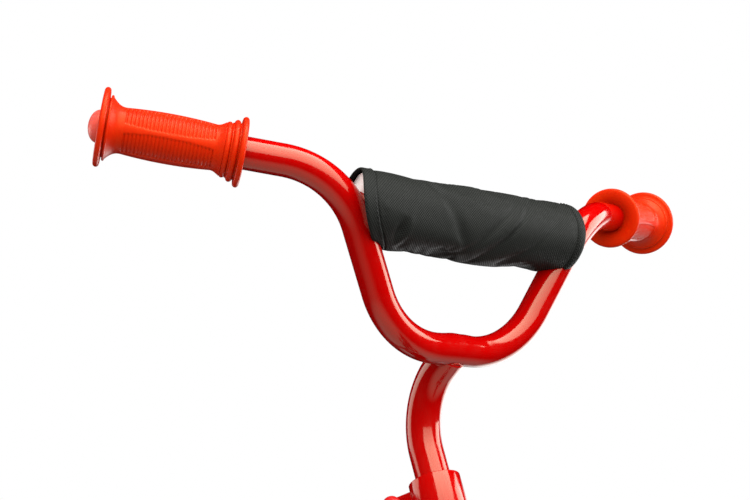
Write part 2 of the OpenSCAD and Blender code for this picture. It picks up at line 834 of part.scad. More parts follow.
// One spoke with its elbow in the hub's flange, and its nipple in the rim
module spoke(i) {
    side = i % 2 == 0 ? 1 : -1;
    lead = floor(i / 2) % 2 == 0 ? 1 : -1;
    rim_a = i * 360 / spoke_count;
    hub_a = rim_a + lead * lace_turn;
    r = spoke_d / 2;
    out = lead * side;
    elbow_at = around(hole_r, hub_a, side * flange_y + out * (flange_t / 2 + r + elbow_gap));
    head_at = around(hole_r, hub_a, side * flange_y - out * (flange_t / 2 + spoke_head_t / 2 + 0.1));
    rim_at = around(rim_bed_r + 1, rim_a, 0);
    u = unit(rim_at - elbow_at);
    rod(elbow_at, rim_at, r);
    translate(elbow_at) sphere(r = r + 0.15);
    rod(elbow_at, head_at, r);
    translate(head_at) rotate([90, 0, 0]) translate([0, 0, -spoke_head_t / 2])
        cylinder(h = spoke_head_t, r = r + 0.7);
    difference() {
        rod(rim_at - nipple_len * u, rim_at + 1.4 * u, nipple_r);
        rod(rim_at - (nipple_len + past) * u, rim_at + (1.4 + past) * u, r + 0.12);
    }
}

module spokes() {
    for (i = [0:spoke_count - 1]) spoke(i);
}

module hub() {
    difference() {
        union() {
            translate([0, -hub_half + 1, 0]) along_y(1) cylinder(h = 2 * (hub_half - 1), r = hub_r);
            both_sides() translate([0, 0, flange_y]) cylinder(h = hub_half - flange_y, r = hub_shell_r);
            both_sides() translate([0, 0, flange_y - flange_t / 2]) cylinder(h = flange_t, r = hub_flange_r);
        }
        translate([0, -hub_half - past, 0]) along_y(1) cylinder(h = 2 * (hub_half + past), r = hub_bore_r);
        both_sides() translate([0, 0, hub_half - bearing_w]) cylinder(h = bearing_w + past, r = bearing_r);
        for (i = [0:spoke_count - 1]) {
            side = i % 2 == 0 ? 1 : -1;
            lead = floor(i / 2) % 2 == 0 ? 1 : -1;
            p = around(hole_r, i * 360 / spoke_count + lead * lace_turn, side * flange_y);
            translate(p - [0, 3, 0]) along_y(1) cylinder(h = 6, r = spoke_d / 2 + 0.2);
        }
    }
}

module bearings() {
    both_sides() translate([0, 0, hub_half - bearing_w])
        ring(bearing_r, axle_d / 2 + running_gap, bearing_w);
}

module front_tyre() color([0.07, 0.07, 0.07]) at_front_wheel() tyre();
module rear_tyre() color([0.07, 0.07, 0.07]) at_rear_wheel() tyre();
module front_inner_tube() color([0.15, 0.15, 0.15]) at_front_wheel() inner_tube();
module rear_inner_tube() color([0.15, 0.15, 0.15]) at_rear_wheel() inner_tube();
module front_rim() color([0.8, 0.8, 0.82]) at_front_wheel() rim();
module rear_rim() color([0.8, 0.8, 0.82]) at_rear_wheel() rim();
module front_spokes() color([0.8, 0.8, 0.82]) at_front_wheel() spokes();
module rear_spokes() color([0.8, 0.8, 0.82]) at_rear_wheel() spokes();
module front_hub() color([0.75, 0.75, 0.77]) at_front_wheel() hub();
module rear_hub() color([0.75, 0.75, 0.77]) at_rear_wheel() hub();
module front_bearings() color([0.7, 0.7, 0.72]) at_front_wheel() bearings();
module rear_bearings() color([0.7, 0.7, 0.72]) at_rear_wheel() bearings();

// ---- Saddle ----

seat_top = seat_foot + seat_plate_z * [-cos(seat_angle), 0, sin(seat_angle)];
plate_h = 3;
plate_size = [84, 48];
base_h = 9;
screw_x = 32;
screw_y = 15;
screw_r = 2.5;

// Where the four saddle screws stand, on the top face of the seatpost's plate
module at_screws() {
    for (x = [-screw_x, screw_x], y = [-screw_y, screw_y]) translate(seat_top + [x, y, 0]) children();
}

module seatpost() color([0.75, 0.75, 0.77]) difference() {
    union() {
        seated() translate([0, 0, seat_tube_len - post_in])
            cylinder(h = seat_plate_z + post_in - seat_tube_len + 3, r = stem_d / 2);
        translate(seat_top - [plate_size[0] / 2, plate_size[1] / 2, plate_h])
            cube([plate_size[0], plate_size[1], plate_h]);
    }
    seated() translate([0, 0, seat_tube_len - post_in - past])
        cylinder(h = seat_plate_z + post_in - seat_tube_len - 4, r = stem_d / 2 - wall);
    translate(seat_top + [-60, -60, 0]) cube([120, 120, 20]);
    at_screws() translate([0, 0, -plate_h - past]) cylinder(h = plate_h + 2 * past, r = screw_r + 0.2);
}

module saddle_screws() color([0.75, 0.75, 0.77]) at_screws() {
    head_h = 3;
    translate([0, 0, -plate_h - head_h]) cylinder(h = head_h, r = screw_r + 1.7);
    translate([0, 0, -plate_h]) cylinder(h = plate_h + 6, r = screw_r);
}

saddle_back_x = seat_top[0] - 0.44 * saddle_len;
saddle_nose_x = saddle_back_x + saddle_len;

// Rounded saddle outline between two heights, shrunk by inset
module saddle_slab(z0, z1, inset, edge) {
    back_r = 30;
    nose_r = 19;
    hull() {
        for (s = [-1, 1]) {
            translate([saddle_back_x + back_r, s * (saddle_w / 2 - back_r), z0])
                cylinder(h = z1 - z0 - edge, r = back_r - inset, $fn = 32);
            translate([saddle_back_x + back_r + 4, s * (saddle_w / 2 - back_r), z1 - edge])
                cylinder(h = edge, r1 = back_r - inset, r2 = back_r - inset - edge, $fn = 32);
        }
        translate([saddle_nose_x - nose_r, 0, z0])
            cylinder(h = z1 - z0 - edge, r = nose_r - inset, $fn = 32);
        translate([saddle_nose_x - nose_r, 0, z1 - edge])
            cylinder(h = edge, r1 = nose_r - inset, r2 = nose_r - inset - edge, $fn = 32);
    }
}

module saddle_base() color([0.08, 0.08, 0.08]) difference() {
    saddle_slab(seat_top[2], seat_top[2] + base_h, 3, 0.5);
    at_screws() cylinder(h = 6.2, r = screw_r + running_gap);
}

module saddle_pad() color([0.1, 0.1, 0.1])
    saddle_slab(seat_top[2] + base_h, seat_top[2] + base_h + saddle_h, 0, 12);

head_tube();
main_tube();
seat_tube();
lower_stays();
upper_stays();
rear_dropout_left();
rear_dropout_right();
seat_tube_plug();
lower_cup();
upper_cup();
lower_ball_ring();
upper_ball_ring();
seat_clamp();
seat_clamp_bolt();
seat_clamp_nut();
rear_axle();
rear_axle_spacers();
rear_washers();
rear_axle_nuts();
rear_nut_caps();
steerer_tube();
fork_crown();
fork_blades();
fork_dropout_left();
fork_dropout_right();
crown_race();
top_race();
lock_nut();
stem_collar();
stem_clamp_bolt();
stem_clamp_nut();
stem_clamp_cap();
front_axle();
front_axle_spacers();
front_washers();
front_axle_nuts();
front_nut_caps();
stem();
handlebar();
crossbar();
grip_left();
grip_right();
bar_pad_foam();
bar_pad_cover();
front_tyre();
front_inner_tube();
front_rim();
front_spokes();
front_hub();
front_bearings();
rear_tyre();
rear_inner_tube();
rear_rim();
rear_spokes();
rear_hub();
rear_bearings();
seatpost();
saddle_base();
saddle_pad();
saddle_screws();
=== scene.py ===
import json
import math

import bmesh
import bpy
import numpy as np
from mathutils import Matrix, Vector


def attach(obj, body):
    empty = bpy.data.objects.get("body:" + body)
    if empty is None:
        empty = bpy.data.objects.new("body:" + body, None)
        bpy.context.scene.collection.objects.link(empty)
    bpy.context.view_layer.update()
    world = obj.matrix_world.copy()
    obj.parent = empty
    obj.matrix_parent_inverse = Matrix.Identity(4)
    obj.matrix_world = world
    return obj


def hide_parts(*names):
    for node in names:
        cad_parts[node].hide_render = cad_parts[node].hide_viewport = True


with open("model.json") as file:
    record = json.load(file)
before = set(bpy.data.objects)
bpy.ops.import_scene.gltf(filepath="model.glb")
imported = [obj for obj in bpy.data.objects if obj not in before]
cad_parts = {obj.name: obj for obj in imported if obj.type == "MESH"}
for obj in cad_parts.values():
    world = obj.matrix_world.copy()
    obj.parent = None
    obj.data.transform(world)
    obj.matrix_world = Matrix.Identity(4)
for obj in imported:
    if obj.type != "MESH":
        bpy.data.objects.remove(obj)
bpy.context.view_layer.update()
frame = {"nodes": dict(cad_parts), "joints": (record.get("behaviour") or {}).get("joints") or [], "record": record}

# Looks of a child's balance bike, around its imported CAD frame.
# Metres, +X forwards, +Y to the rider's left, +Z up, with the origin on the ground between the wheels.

MM = 0.001
JOINT = {j["name"]: j for j in frame["joints"]}
SLOT_OF = {p["node"]: p["material_slot"] for p in frame["record"]["subparts"]}

# ---- Layout, from the frame's joints ----

UP = Vector(JOINT["steering"]["axis"]).normalized()  # the steering axis
AHEAD = Vector((UP.z, 0, -UP.x))  # square to it, forwards
FRONT_AXLE = Vector(JOINT["front_spin"]["pos_m"])
REAR_AXLE = Vector(JOINT["rear_spin"]["pos_m"])
STEER_FOOT = Vector(JOINT["steering"]["pos_m"])
STEER_FOOT = STEER_FOOT + UP * (FRONT_AXLE - STEER_FOOT).dot(UP)
SEAT_UP = Vector(JOINT["seat_height"]["axis"]).normalized()

COLLAR_TOP = 303 * MM  # up the steering axis, from its foot
STEM_R = 12.5 * MM
STEM_BELOW = 105 * MM  # length inside the collar and the steerer
STEM_CORNER = 60.1 * MM  # above the collar's top
STEM_BEND = 51.6 * MM
BAR_R = 11.1 * MM
# The middle of the bar's bottom stretch. The bar's own sizes are measured from here.
BAR_AT = STEER_FOOT + UP * (COLLAR_TOP + 74.8 * MM) + AHEAD * 55.3 * MM
LOWER_CORNER = Vector((0, 54.2, 0)) * MM
UPPER_CORNER = Vector((20.3, 112.6, 109.3)) * MM
LOWER_BEND = 63 * MM
UPPER_BEND = 65 * MM
BAR_BENDS = [UPPER_BEND, LOWER_BEND, LOWER_BEND, UPPER_BEND]
SWEEP = math.radians(26.6)  # of the grips, backwards and upwards
SLOPE = math.radians(8)
GRIP_DIR = Vector((-math.sin(SWEEP) * math.cos(SLOPE), math.cos(SWEEP) * math.cos(SLOPE), math.sin(SLOPE)))
GRIP_START = 66 * MM  # from the upper corner
GRIP_LEN = 95 * MM
BAR_END = GRIP_START + GRIP_LEN - 6 * MM
CROSS_AT = BAR_AT + Vector((16.42, 0, 88.4)) * MM
CROSS_R = 8 * MM
PAD_R = 26.5 * MM
PAD_LEN = 190 * MM
PAD_AT = CROSS_AT - Vector((2.7, 0, 0)) * MM


# ---- Mesh helpers ----

def mesh_object(name, verts, faces, smooth=True):
    """A mesh object made from lists of points and faces, with its faces turned outwards."""
    mesh = bpy.data.meshes.new(name)
    mesh.from_pydata([tuple(p) for p in verts], [], [tuple(f) for f in faces])
    mesh.update()
    bm = bmesh.new()
    bm.from_mesh(mesh)
    bmesh.ops.recalc_face_normals(bm, faces=bm.faces)
    bm.to_mesh(mesh)
    bm.free()
    mesh.polygons.foreach_set("use_smooth", [smooth] * len(mesh.polygons))
    obj = bpy.data.objects.new(name, mesh)
    bpy.context.scene.collection.objects.link(obj)
    return obj


def grid_faces(rows, cols, wrap_rows=False, wrap_cols=True):
    """Quads between the points of a grid that is stored row by row."""
    faces = []
    for i in range(rows if wrap_rows else rows - 1):
        k = (i + 1) % rows
        for j in range(cols if wrap_cols else cols - 1):
            m = (j + 1) % cols
            faces.append((i * cols + j, i * cols + m, k * cols + m, k * cols + j))
    return faces


def mirrored(v):
    return Vector((v.x, -v.y, v.z))


def bent_path(corners, bends, step=1.5 * MM):
    """Points along straight stretches and round bends, with bend radius bends[i] at each inner corner."""
    cut = [0.0] * len(corners)
    for i in range(1, len(corners) - 1):
        u = (corners[i] - corners[i - 1]).normalized()
        v = (corners[i + 1] - corners[i]).normalized()
        cut[i] = bends[i - 1] * math.tan(u.angle(v) / 2)
    points = []
    for i in range(len(corners) - 1):
        u = (corners[i + 1] - corners[i]).normalized()
        a = corners[i] + u * cut[i]
        b = corners[i + 1] - u * cut[i + 1]
        count = max(2, round((b - a).length / step))
        points += [a.lerp(b, k / count) for k in range(count)]
        if i + 2 < len(corners):
            v = (corners[i + 2] - corners[i + 1]).normalized()
            w = (v - u * v.dot(u)).normalized()
            r = bends[i]
            turn = u.angle(v)
            count = max(6, round(r * turn / step))
            centre = b + w * r
            for k in range(count):
                t = turn * k / count
                points.append(centre - w * r * math.cos(t) + u * r * math.sin(t))
    return points + [corners[-1]]


def ring_axes(points):
    """For each point of a path, two directions square to it that don't twist along it."""
    count = len(points)
    tangents = []
    for i in range(count):
        tangents.append((points[min(i + 1, count - 1)] - points[max(i - 1, 0)]).normalized())
    side = tangents[0].orthogonal().normalized()
    axes = []
    for t in tangents:
        side = (side - t * side.dot(t)).normalized()
        axes.append((side, t.cross(side)))
    return axes


def tube_points(points, radius, sides):
    """Rings round a path. radius is a length, or a function of the ring's index and angle."""
    verts = []
    for i, (p, (x, y)) in enumerate(zip(points, ring_axes(points))):
        for j in range(sides):
            a = 2 * math.pi * j / sides
            r = radius(i, a) if callable(radius) else radius
            verts.append(p + (x * math.cos(a) + y * math.sin(a)) * r)
    return verts


def tube(name, points, radius, sides, shape=None):
    """A closed rod along a path. shape moves each point of its surface."""
    verts = tube_points(points, radius, sides)
    if shape:
        verts = [shape(v) for v in verts]
    faces = grid_faces(len(points), sides)
    last = (len(points) - 1) * sides
    faces.append(tuple(range(sides - 1, -1, -1)))
    faces.append(tuple(range(last, last + sides)))
    return mesh_object(name, verts, faces)


def revolved(name, profile, origin, axis, sides):
    """Turns a profile of (radius, height) points round an axis. A radius of 0 closes that end."""
    z = axis.normalized()
    x = z.orthogonal().normalized()
    y = z.cross(x)
    verts, rings = [], []
    for r, h in profile:
        rings.append(len(verts))
        if r <= 1e-9:
            verts.append(origin + z * h)
            continue
        for j in range(sides):
            a = 2 * math.pi * j / sides
            verts.append(origin + z * h + (x * math.cos(a) + y * math.sin(a)) * r)
    faces = []
    for i in range(len(profile) - 1):
        a, b = rings[i], rings[i + 1]
        ra, rb = profile[i][0] > 1e-9, profile[i + 1][0] > 1e-9
        for j in range(sides):
            k = (j + 1) % sides
            if ra and rb:
                faces.append((a + j, a + k, b + k, b + j))
            elif rb:
                faces.append((a, b + k, b + j))
            elif ra:
                faces.append((a + j, a + k, b))
    return mesh_object(name, verts, faces)


def smoothstep(a, b, x):
    """Rises smoothly from 0 at a to 1 at b."""
    t = min(1.0, max(0.0, (x - a) / (b - a)))
    return t * t * (3 - 2 * t)


def bump(x, centre, width):
    """A bell curve of height 1."""
    return math.exp(-(((x - centre) / width) ** 2))


def joined(name, parts):
    """One object made from several."""
    bpy.ops.object.select_all(action="DESELECT")
    for p in parts:
        p.select_set(True)
    bpy.context.view_layer.objects.active = parts[0]
    bpy.ops.object.join()
    parts[0].name = name
    return parts[0]


def applied(obj):
    """Puts the result of an object's modifiers into its mesh."""
    mesh = bpy.data.meshes.new_from_object(obj.evaluated_get(bpy.context.evaluated_depsgraph_get()))
    obj.modifiers.clear()
    obj.data = mesh
    return obj


def cut_away(obj, cutter):
    """Takes the cutter's volume out of a mesh, and removes the cutter."""
    mod = obj.modifiers.new("cut", "BOOLEAN")
    mod.operation = "DIFFERENCE"
    mod.solver = "EXACT"
    mod.object = cutter
    applied(obj)
    bpy.data.objects.remove(cutter)
    return obj


def finished(obj, body, slot, material, *replaced):
    """Paints a piece, and fixes it to its body."""
    obj.data.materials.clear()
    obj.data.materials.append(material)
    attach(obj, body)
    if replaced:
        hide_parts(*replaced)
    return obj


# ---- Materials ----

class Graph:
    """A material's nodes, with short ways to add and join them."""

    def __init__(self, name, colour, roughness, metallic=0.0, **sockets):
        self.material = bpy.data.materials.new(name)
        self.material.use_nodes = True
        self.tree = self.material.node_tree
        self.shader = self.tree.nodes["Principled BSDF"]
        self.shader.inputs["Base Color"].default_value = (*colour, 1)
        self.shader.inputs["Roughness"].default_value = roughness
        self.shader.inputs["Metallic"].default_value = metallic
        for socket, value in sockets.items():
            self.shader.inputs[socket.replace("_", " ")].default_value = value
        self.place = self.node("ShaderNodeTexCoord").outputs["Object"]

    def node(self, kind, **settings):
        made = self.tree.nodes.new(kind)
        for key, value in settings.items():
            setattr(made, key, value)
        return made

    def link(self, a, b):
        self.tree.links.new(a, b)

    def math(self, operation, a, b=0.0, clamp=False):
        made = self.node("ShaderNodeMath", operation=operation, use_clamp=clamp)
        for socket, value in zip(made.inputs, (a, b)):
            if isinstance(value, (int, float)):
                socket.default_value = value
            else:
                self.link(value, socket)
        return made.outputs[0]

    def scaled(self, *scale):
        """Object coordinates times three numbers."""
        made = self.node("ShaderNodeMapping")
        made.inputs["Scale"].default_value = scale
        self.link(self.place, made.inputs["Vector"])
        return made.outputs[0]

    def noise(self, scale, detail, vector=None):
        made = self.node("ShaderNodeTexNoise")
        made.inputs["Scale"].default_value = scale
        made.inputs["Detail"].default_value = detail
        self.link(vector or self.place, made.inputs["Vector"])
        return made.outputs["Fac"]

    def wave(self, scale, direction, vector=None):
        made = self.node("ShaderNodeTexWave", bands_direction=direction)
        made.inputs["Scale"].default_value = scale
        self.link(vector or self.place, made.inputs["Vector"])
        return made.outputs["Fac"]

    def ramp(self, value, *stops):
        """A colour or grey that depends on a value: stops are (position, colour or grey)."""
        made = self.node("ShaderNodeValToRGB")
        ramp = made.color_ramp
        while len(ramp.elements) < len(stops):
            ramp.elements.new(0.5)
        for element, (at, colour) in zip(ramp.elements, stops):
            element.position = at
            element.color = (*colour, 1) if hasattr(colour, "__len__") else (colour, colour, colour, 1)
        self.link(value, made.inputs["Fac"])
        return made.outputs["Color"]

    def voronoi(self, scale, feature="F1"):
        """Distance to the nearest cell's centre, or to its edge."""
        made = self.node("ShaderNodeTexVoronoi", feature=feature)
        made.inputs["Scale"].default_value = scale
        self.link(self.place, made.inputs["Vector"])
        return made.outputs["Distance"]

    def mixed(self, factor, a, b):
        """A colour between a and b, which are colours or colour outputs."""
        made = self.node("ShaderNodeMix", data_type="RGBA")
        for socket, value in ((made.inputs["Factor"], factor), (made.inputs[6], a), (made.inputs[7], b)):
            if isinstance(value, (int, float)):
                socket.default_value = value
            elif isinstance(value, tuple):
                socket.default_value = (*value, 1)
            else:
                self.link(value, socket)
        return made.outputs[2]

    def colour(self, value):
        self.link(value, self.shader.inputs["Base Color"])

    def roughness(self, value):
        self.link(value, self.shader.inputs["Roughness"])

    def bumps(self, *layers):
        """Bumps stacked from (height output, distance in metres)."""
        normal = None
        for height, distance in layers:
            made = self.node("ShaderNodeBump")
            made.inputs["Distance"].default_value = distance
            self.link(height, made.inputs["Height"])
            if normal:
                self.link(normal, made.inputs["Normal"])
            normal = made.outputs["Normal"]
        self.link(normal, self.shader.inputs["Normal"])
        return self


PAINT_RED = (0.275, 0.0, 0.0)
PAINT_DEEP = (0.252, 0.0, 0.0)
WARM = (1.0, 0.95, 0.66, 1)  # tint of the gloss over red


def paint(name):
    """Glossy red powder coat, with a faint orange peel."""
    g = Graph(name, PAINT_RED, 0.12, Specular_IOR_Level=0.5, Specular_Tint=WARM)
    g.colour(g.ramp(g.noise(9, 3), (0.3, PAINT_DEEP), (0.7, PAINT_RED)))
    g.roughness(g.ramp(g.noise(140, 3), (0.35, 0.09), (0.7, 0.15)))
    g.bumps((g.noise(260, 2), 0.006 * MM), (g.noise(40, 2), 0.02 * MM))
    return g.material


def soft_plastic(name, colour):
    """Soft, slightly see-through orange-red vinyl of the grips."""
    g = Graph(name, colour, 0.36, Specular_IOR_Level=0.22, Specular_Tint=(1.0, 0.6, 0.2, 1),
              Subsurface_Weight=0.3, Subsurface_Scale=0.0006)
    g.shader.inputs["Subsurface Radius"].default_value = (1.0, 0.2, 0.08)
    g.colour(g.ramp(g.noise(60, 3), (0.3, tuple(c * 0.92 for c in colour)), (0.7, colour)))
    g.roughness(g.ramp(g.noise(300, 3), (0.3, 0.3), (0.7, 0.4)))
    g.bumps((g.noise(1500, 3), 0.01 * MM), (g.noise(90, 2), 0.03 * MM))
    return g.material


THREAD = 1.05 * MM  # width of one thread of the pad's cover


def woven(name, colour, light):
    """Woven polyester: two sets of threads over and under each other, along and round the pad. Where a thread lies
    on top it is painted 13 times lighter than the gaps, a painted highlight on the thread tops.
    """
    g = Graph(name, colour, 0.5, Specular_IOR_Level=0.07)
    bands = 2 * math.pi / 20 / (2 * THREAD)  # a wave texture of scale 1 has 20 / 2 pi bands a metre
    along = g.wave(bands, "Y")
    split = g.node("ShaderNodeSeparateXYZ")
    g.link(g.place, split.inputs[0])
    across_x = g.math("SUBTRACT", split.outputs["X"], PAD_AT.x)
    across_z = g.math("SUBTRACT", split.outputs["Z"], PAD_AT.z)
    turned = g.math("MULTIPLY", g.math("ARCTAN2", across_z, across_x), PAD_R)
    vector = g.node("ShaderNodeCombineXYZ")
    g.link(turned, vector.inputs[0])
    across = g.wave(bands, "X", vector.outputs[0])
    check = g.math("MULTIPLY", g.math("SUBTRACT", along, 0.5), g.math("SUBTRACT", across, 0.5))
    weave = g.math("ADD", g.math("MULTIPLY", check, 2.0), 0.5, clamp=True)
    shade = g.mixed(g.noise(45, 4), colour, light)
    # Painted highlight: the thread tops are painted 13 times lighter than the gaps between them.
    g.colour(g.mixed(weave, shade, tuple(c * 13 for c in light)))
    g.roughness(g.ramp(weave, (0.2, 0.75), (0.8, 0.42)))
    g.bumps((weave, 0.16 * MM), (g.noise(160, 3), 0.12 * MM))
    return g.material


def foam(name):
    """Pinkish white closed-cell foam with fine pores. The pits of the pores are painted darker, as painted shade
    in the pores.
    """
    g = Graph(name, (0.96, 0.86, 0.82), 0.85, Specular_IOR_Level=0.2)
    cells = g.voronoi(900)
    # Painted shade: the pore pits, low in the bump, get the darker colour.
    g.colour(g.ramp(cells, (0.05, (0.85, 0.74, 0.7)), (0.5, (0.98, 0.9, 0.86))))
    g.bumps((cells, 0.2 * MM), (g.noise(200, 3), 0.2 * MM))
    return g.material


def tyre_rubber(name):
    """Dusty black rubber."""
    g = Graph(name, (0.009, 0.009, 0.009), 0.7, Specular_IOR_Level=0.35)
    g.colour(g.ramp(g.noise(35, 5), (0.3, (0.007, 0.007, 0.007)), (0.75, (0.013, 0.0125, 0.012))))
    g.roughness(g.ramp(g.noise(120, 4), (0.3, 0.58), (0.7, 0.82)))
    g.bumps((g.noise(1200, 3), 0.05 * MM), (g.noise(160, 3), 0.06 * MM))
    return g.material


def moulded(name, colour, rough):
    """Moulded plastic with a fine spark-eroded grain."""
    g = Graph(name, colour, rough, Specular_IOR_Level=0.45)
    lighter = tuple(min(1.0, c * 1.25 + 0.003) for c in colour)
    g.colour(g.ramp(g.noise(50, 3), (0.3, colour), (0.7, lighter)))
    g.roughness(g.ramp(g.noise(250, 3), (0.3, rough - 0.06), (0.7, rough + 0.1)))
    g.bumps((g.noise(1400, 3), 0.04 * MM))
    return g.material


def brushed(name, colour, rough):
    """Metal with fine turning marks and a little tarnish."""
    g = Graph(name, colour, rough, 0.8)
    darker = tuple(c * 0.88 for c in colour)
    g.colour(g.ramp(g.noise(30, 3), (0.3, darker), (0.65, colour)))
    marks = g.noise(500, 2, g.scaled(1, 0.1, 1))
    g.roughness(g.ramp(marks, (0.3, rough), (0.7, rough + 0.05)))
    g.bumps((marks, 0.002 * MM))
    return g.material


def vinyl(name):
    """Black saddle vinyl with a leather grain. Its creases are painted darker than the grain between them, as
    painted shade in the creases.
    """
    g = Graph(name, (0.008, 0.008, 0.008), 0.5, Specular_IOR_Level=0.4)
    creases = g.ramp(g.voronoi(620, "DISTANCE_TO_EDGE"), (0.0, 0.0), (0.16, 1.0))
    tone = g.ramp(g.noise(25, 3), (0.3, (0.008, 0.008, 0.008)), (0.7, (0.011, 0.011, 0.011)))
    # Painted shade: the crease grooves, low in the bump, get the darker colour.
    g.colour(g.mixed(creases, (0.004, 0.004, 0.004), tone))
    g.roughness(g.ramp(g.noise(180, 3), (0.3, 0.47), (0.7, 0.53)))
    g.bumps((creases, 0.1 * MM), (g.noise(400, 3), 0.06 * MM))
    return g.material


def thread(name, colour):
    """Sewing thread: fine twisted strands, painted darker in the grooves between them as painted shade."""
    g = Graph(name, colour, 0.6, Specular_IOR_Level=0.3)
    twist = g.wave(700, "DIAGONAL")
    # Painted shade: the grooves of the twist, low in the bump, are painted 0.6 times as light.
    g.colour(g.mixed(twist, tuple(c * 0.6 for c in colour), colour))
    g.bumps((twist, 0.05 * MM))
    return g.material


MATERIAL = {
    "red_paint": paint("red_paint"),
    "bar_paint": paint("bar_paint"),
    "grip_rubber": soft_plastic("grip_vinyl", (0.42, 0.01, 0.0002)),
    "pad_fabric": woven("pad_polyester", (0.0007, 0.0008, 0.0007), (0.0015, 0.0016, 0.0014)),
    "pad_foam": foam("pad_foam"),
    "tyre_rubber": tyre_rubber("tyre_rubber"),
    "tube_rubber": moulded("tube_rubber", (0.01, 0.01, 0.01), 0.6),
    "rim_alloy": brushed("rim_alloy", (0.78, 0.79, 0.8), 0.34),
    "spoke_steel": brushed("spoke_steel", (0.72, 0.73, 0.74), 0.30),
    "hub_alloy": brushed("hub_alloy", (0.7, 0.71, 0.72), 0.38),
    "ball_steel": brushed("ball_steel", (0.66, 0.66, 0.68), 0.22),
    "zinc_steel": brushed("zinc_steel", (0.62, 0.63, 0.64), 0.40),
    "chrome_parts": brushed("chrome_parts", (0.82, 0.82, 0.83), 0.20),
    "red_plastic": moulded("red_plastic", (0.32, 0.002, 0.001), 0.3),
    "black_plastic": moulded("black_plastic", (0.007, 0.007, 0.007), 0.45),
    "saddle_vinyl": vinyl("saddle_vinyl"),
}
PAD_THREAD = thread("pad_thread", (0.004, 0.004, 0.004))
# The dome's vinyl is paler and pinker than the grips'; part of that paleness is a painted highlight.
GRIP_DOME = soft_plastic("grip_dome", (0.55, 0.07, 0.052))

for node_name, node_obj in frame["nodes"].items():
    node_obj.data.materials.clear()
    node_obj.data.materials.append(MATERIAL[SLOT_OF[node_name]])


# ---- Handlebar, stem and their welds ----

def bar_corners(to_grips=BAR_END):
    """The corners of the bar's centreline, from the right grip to the left one."""
    end = UPPER_CORNER + GRIP_DIR * to_grips
    half = [LOWER_CORNER, UPPER_CORNER, end]
    return [BAR_AT + mirrored(p) for p in reversed(half)] + [BAR_AT + p for p in half]


def bar_surface(p):
    """Marks that bending and welding leave on the bar: a low swelling over the stem, and a pinch."""
    rel = p - BAR_AT
    top = smoothstep(0.2, 0.9, rel.z / BAR_R) if abs(rel.y) < 40 * MM else 0.0
    lift = 0.9 * bump(rel.y, -2 * MM, 7 * MM) + 0.5 * bump(rel.y, 9 * MM, 5 * MM)
    dent = 0.35 * bump(rel.y, 22 * MM, 4 * MM) * bump(rel.z, 5 * MM, 4 * MM) * (rel.x > 0)
    return p + Vector((-dent * 0.8, 0, lift * top - dent * 0.5)) * MM


handlebar = tube("handlebar_tube", bent_path(bar_corners(), BAR_BENDS), BAR_R, 96, bar_surface)
finished(handlebar, "bar", "bar_paint", MATERIAL["bar_paint"], "handlebar")

stem_corner = STEER_FOOT + UP * (COLLAR_TOP + STEM_CORNER)
stem_dir = (BAR_AT - stem_corner).normalized()
stem_line = [STEER_FOOT + UP * (COLLAR_TOP - STEM_BELOW), stem_corner, BAR_AT - stem_dir * 4 * MM]
stem = tube("stem_tube", bent_path(stem_line, [STEM_BEND]), STEM_R, 96)
finished(stem, "bar", "bar_paint", MATERIAL["bar_paint"], "stem")


# ---- Grips ----

# Sizes in mm: heights along a grip from its inner end, and widths round it from the middle of its front
GRIP_RIB_FROM, GRIP_RIB_TO = 20.5, 78.5
GRIP_PITCH = 2.5
GRIP_MID, GRIP_MID_HALF = 49.5, 29.5
GRIP_NECK_R = 15.2
GRIP_STRIP = 1.6
GRIP_PANEL_EDGE = 18.6
RIB_SUNK, RIB_GROOVE = 0.3, 0.6
# Rounded rims of a grip: middle along it, half of the width, and outer radius, in mm
GRIP_RIMS = [(2, 2, 23.5), (7, 2, 20.6), (12, 2, 18.6), (89.2, 0.8, 21.6), (93, 2, 26.2)]


def grip_core(h):
    """Radius of a grip without its rims, in mm."""
    if h < 14:  # under the rims of the inner end
        return 19.4 - 0.11 * h
    if h < 20:
        return GRIP_NECK_R + 2.6 * (1 - math.sin(math.pi / 2 * (h - 14) / 6))
    if h < 79:  # a barrel between two necks
        return GRIP_NECK_R + 1.4 * (1 - ((h - GRIP_MID) / GRIP_MID_HALF) ** 2)
    if h < 88.5:  # a flare up to the flanges
        return GRIP_NECK_R + 5.4 * (1 - math.cos(math.pi / 2 * (h - 79) / 9.5)) ** 1.3
    return 19.5


def grip_outline():
    """(height, radius) points along a grip, denser on its rims and ribs."""
    rows = []
    stops = [(-1, 0, 0)] + GRIP_RIMS
    for k, (middle, half, top) in enumerate(GRIP_RIMS):
        start = stops[k][0] + stops[k][1] if k else 0.0
        end = middle - half
        if end - start > 0.1:
            step = 0.25 if end - start > 20 else 0.6
            count = round((end - start) / step)
            rows += [(start + (end - start) * i / count, grip_core(start + (end - start) * i / count))
                     for i in range(count + 1)]
        for i in range(11):
            t = math.pi * i / 10
            rows.append((middle - half * math.cos(t), top - half + half * math.sin(t)))
    end = GRIP_LEN / MM
    return rows + [(end, 22), (end - 0.5, 17), (end - 0.3, 13)]


def rib_depth(h, around):
    """Depth below the grip's core, in mm, at a distance round it from the middle of its front or back.

    A smooth strip runs along the front and the back, with a ribbed panel on each of its sides.
    """
    strip = GRIP_STRIP + 2.0 * ((h - GRIP_MID) / GRIP_MID_HALF) ** 2
    along_panel = smoothstep(GRIP_RIB_FROM - 0.5, GRIP_RIB_FROM, h)
    along_panel *= 1 - smoothstep(GRIP_RIB_TO, GRIP_RIB_TO + 0.5, h)
    panel = smoothstep(strip - 0.3, strip + 0.3, around)
    panel *= 1 - smoothstep(GRIP_PANEL_EDGE - 0.3, GRIP_PANEL_EDGE + 0.3, around)
    groove = (0.5 + 0.5 * math.cos(2 * math.pi * (h - GRIP_RIB_FROM) / GRIP_PITCH)) ** 2
    return along_panel * panel * (RIB_SUNK + RIB_GROOVE * groove)


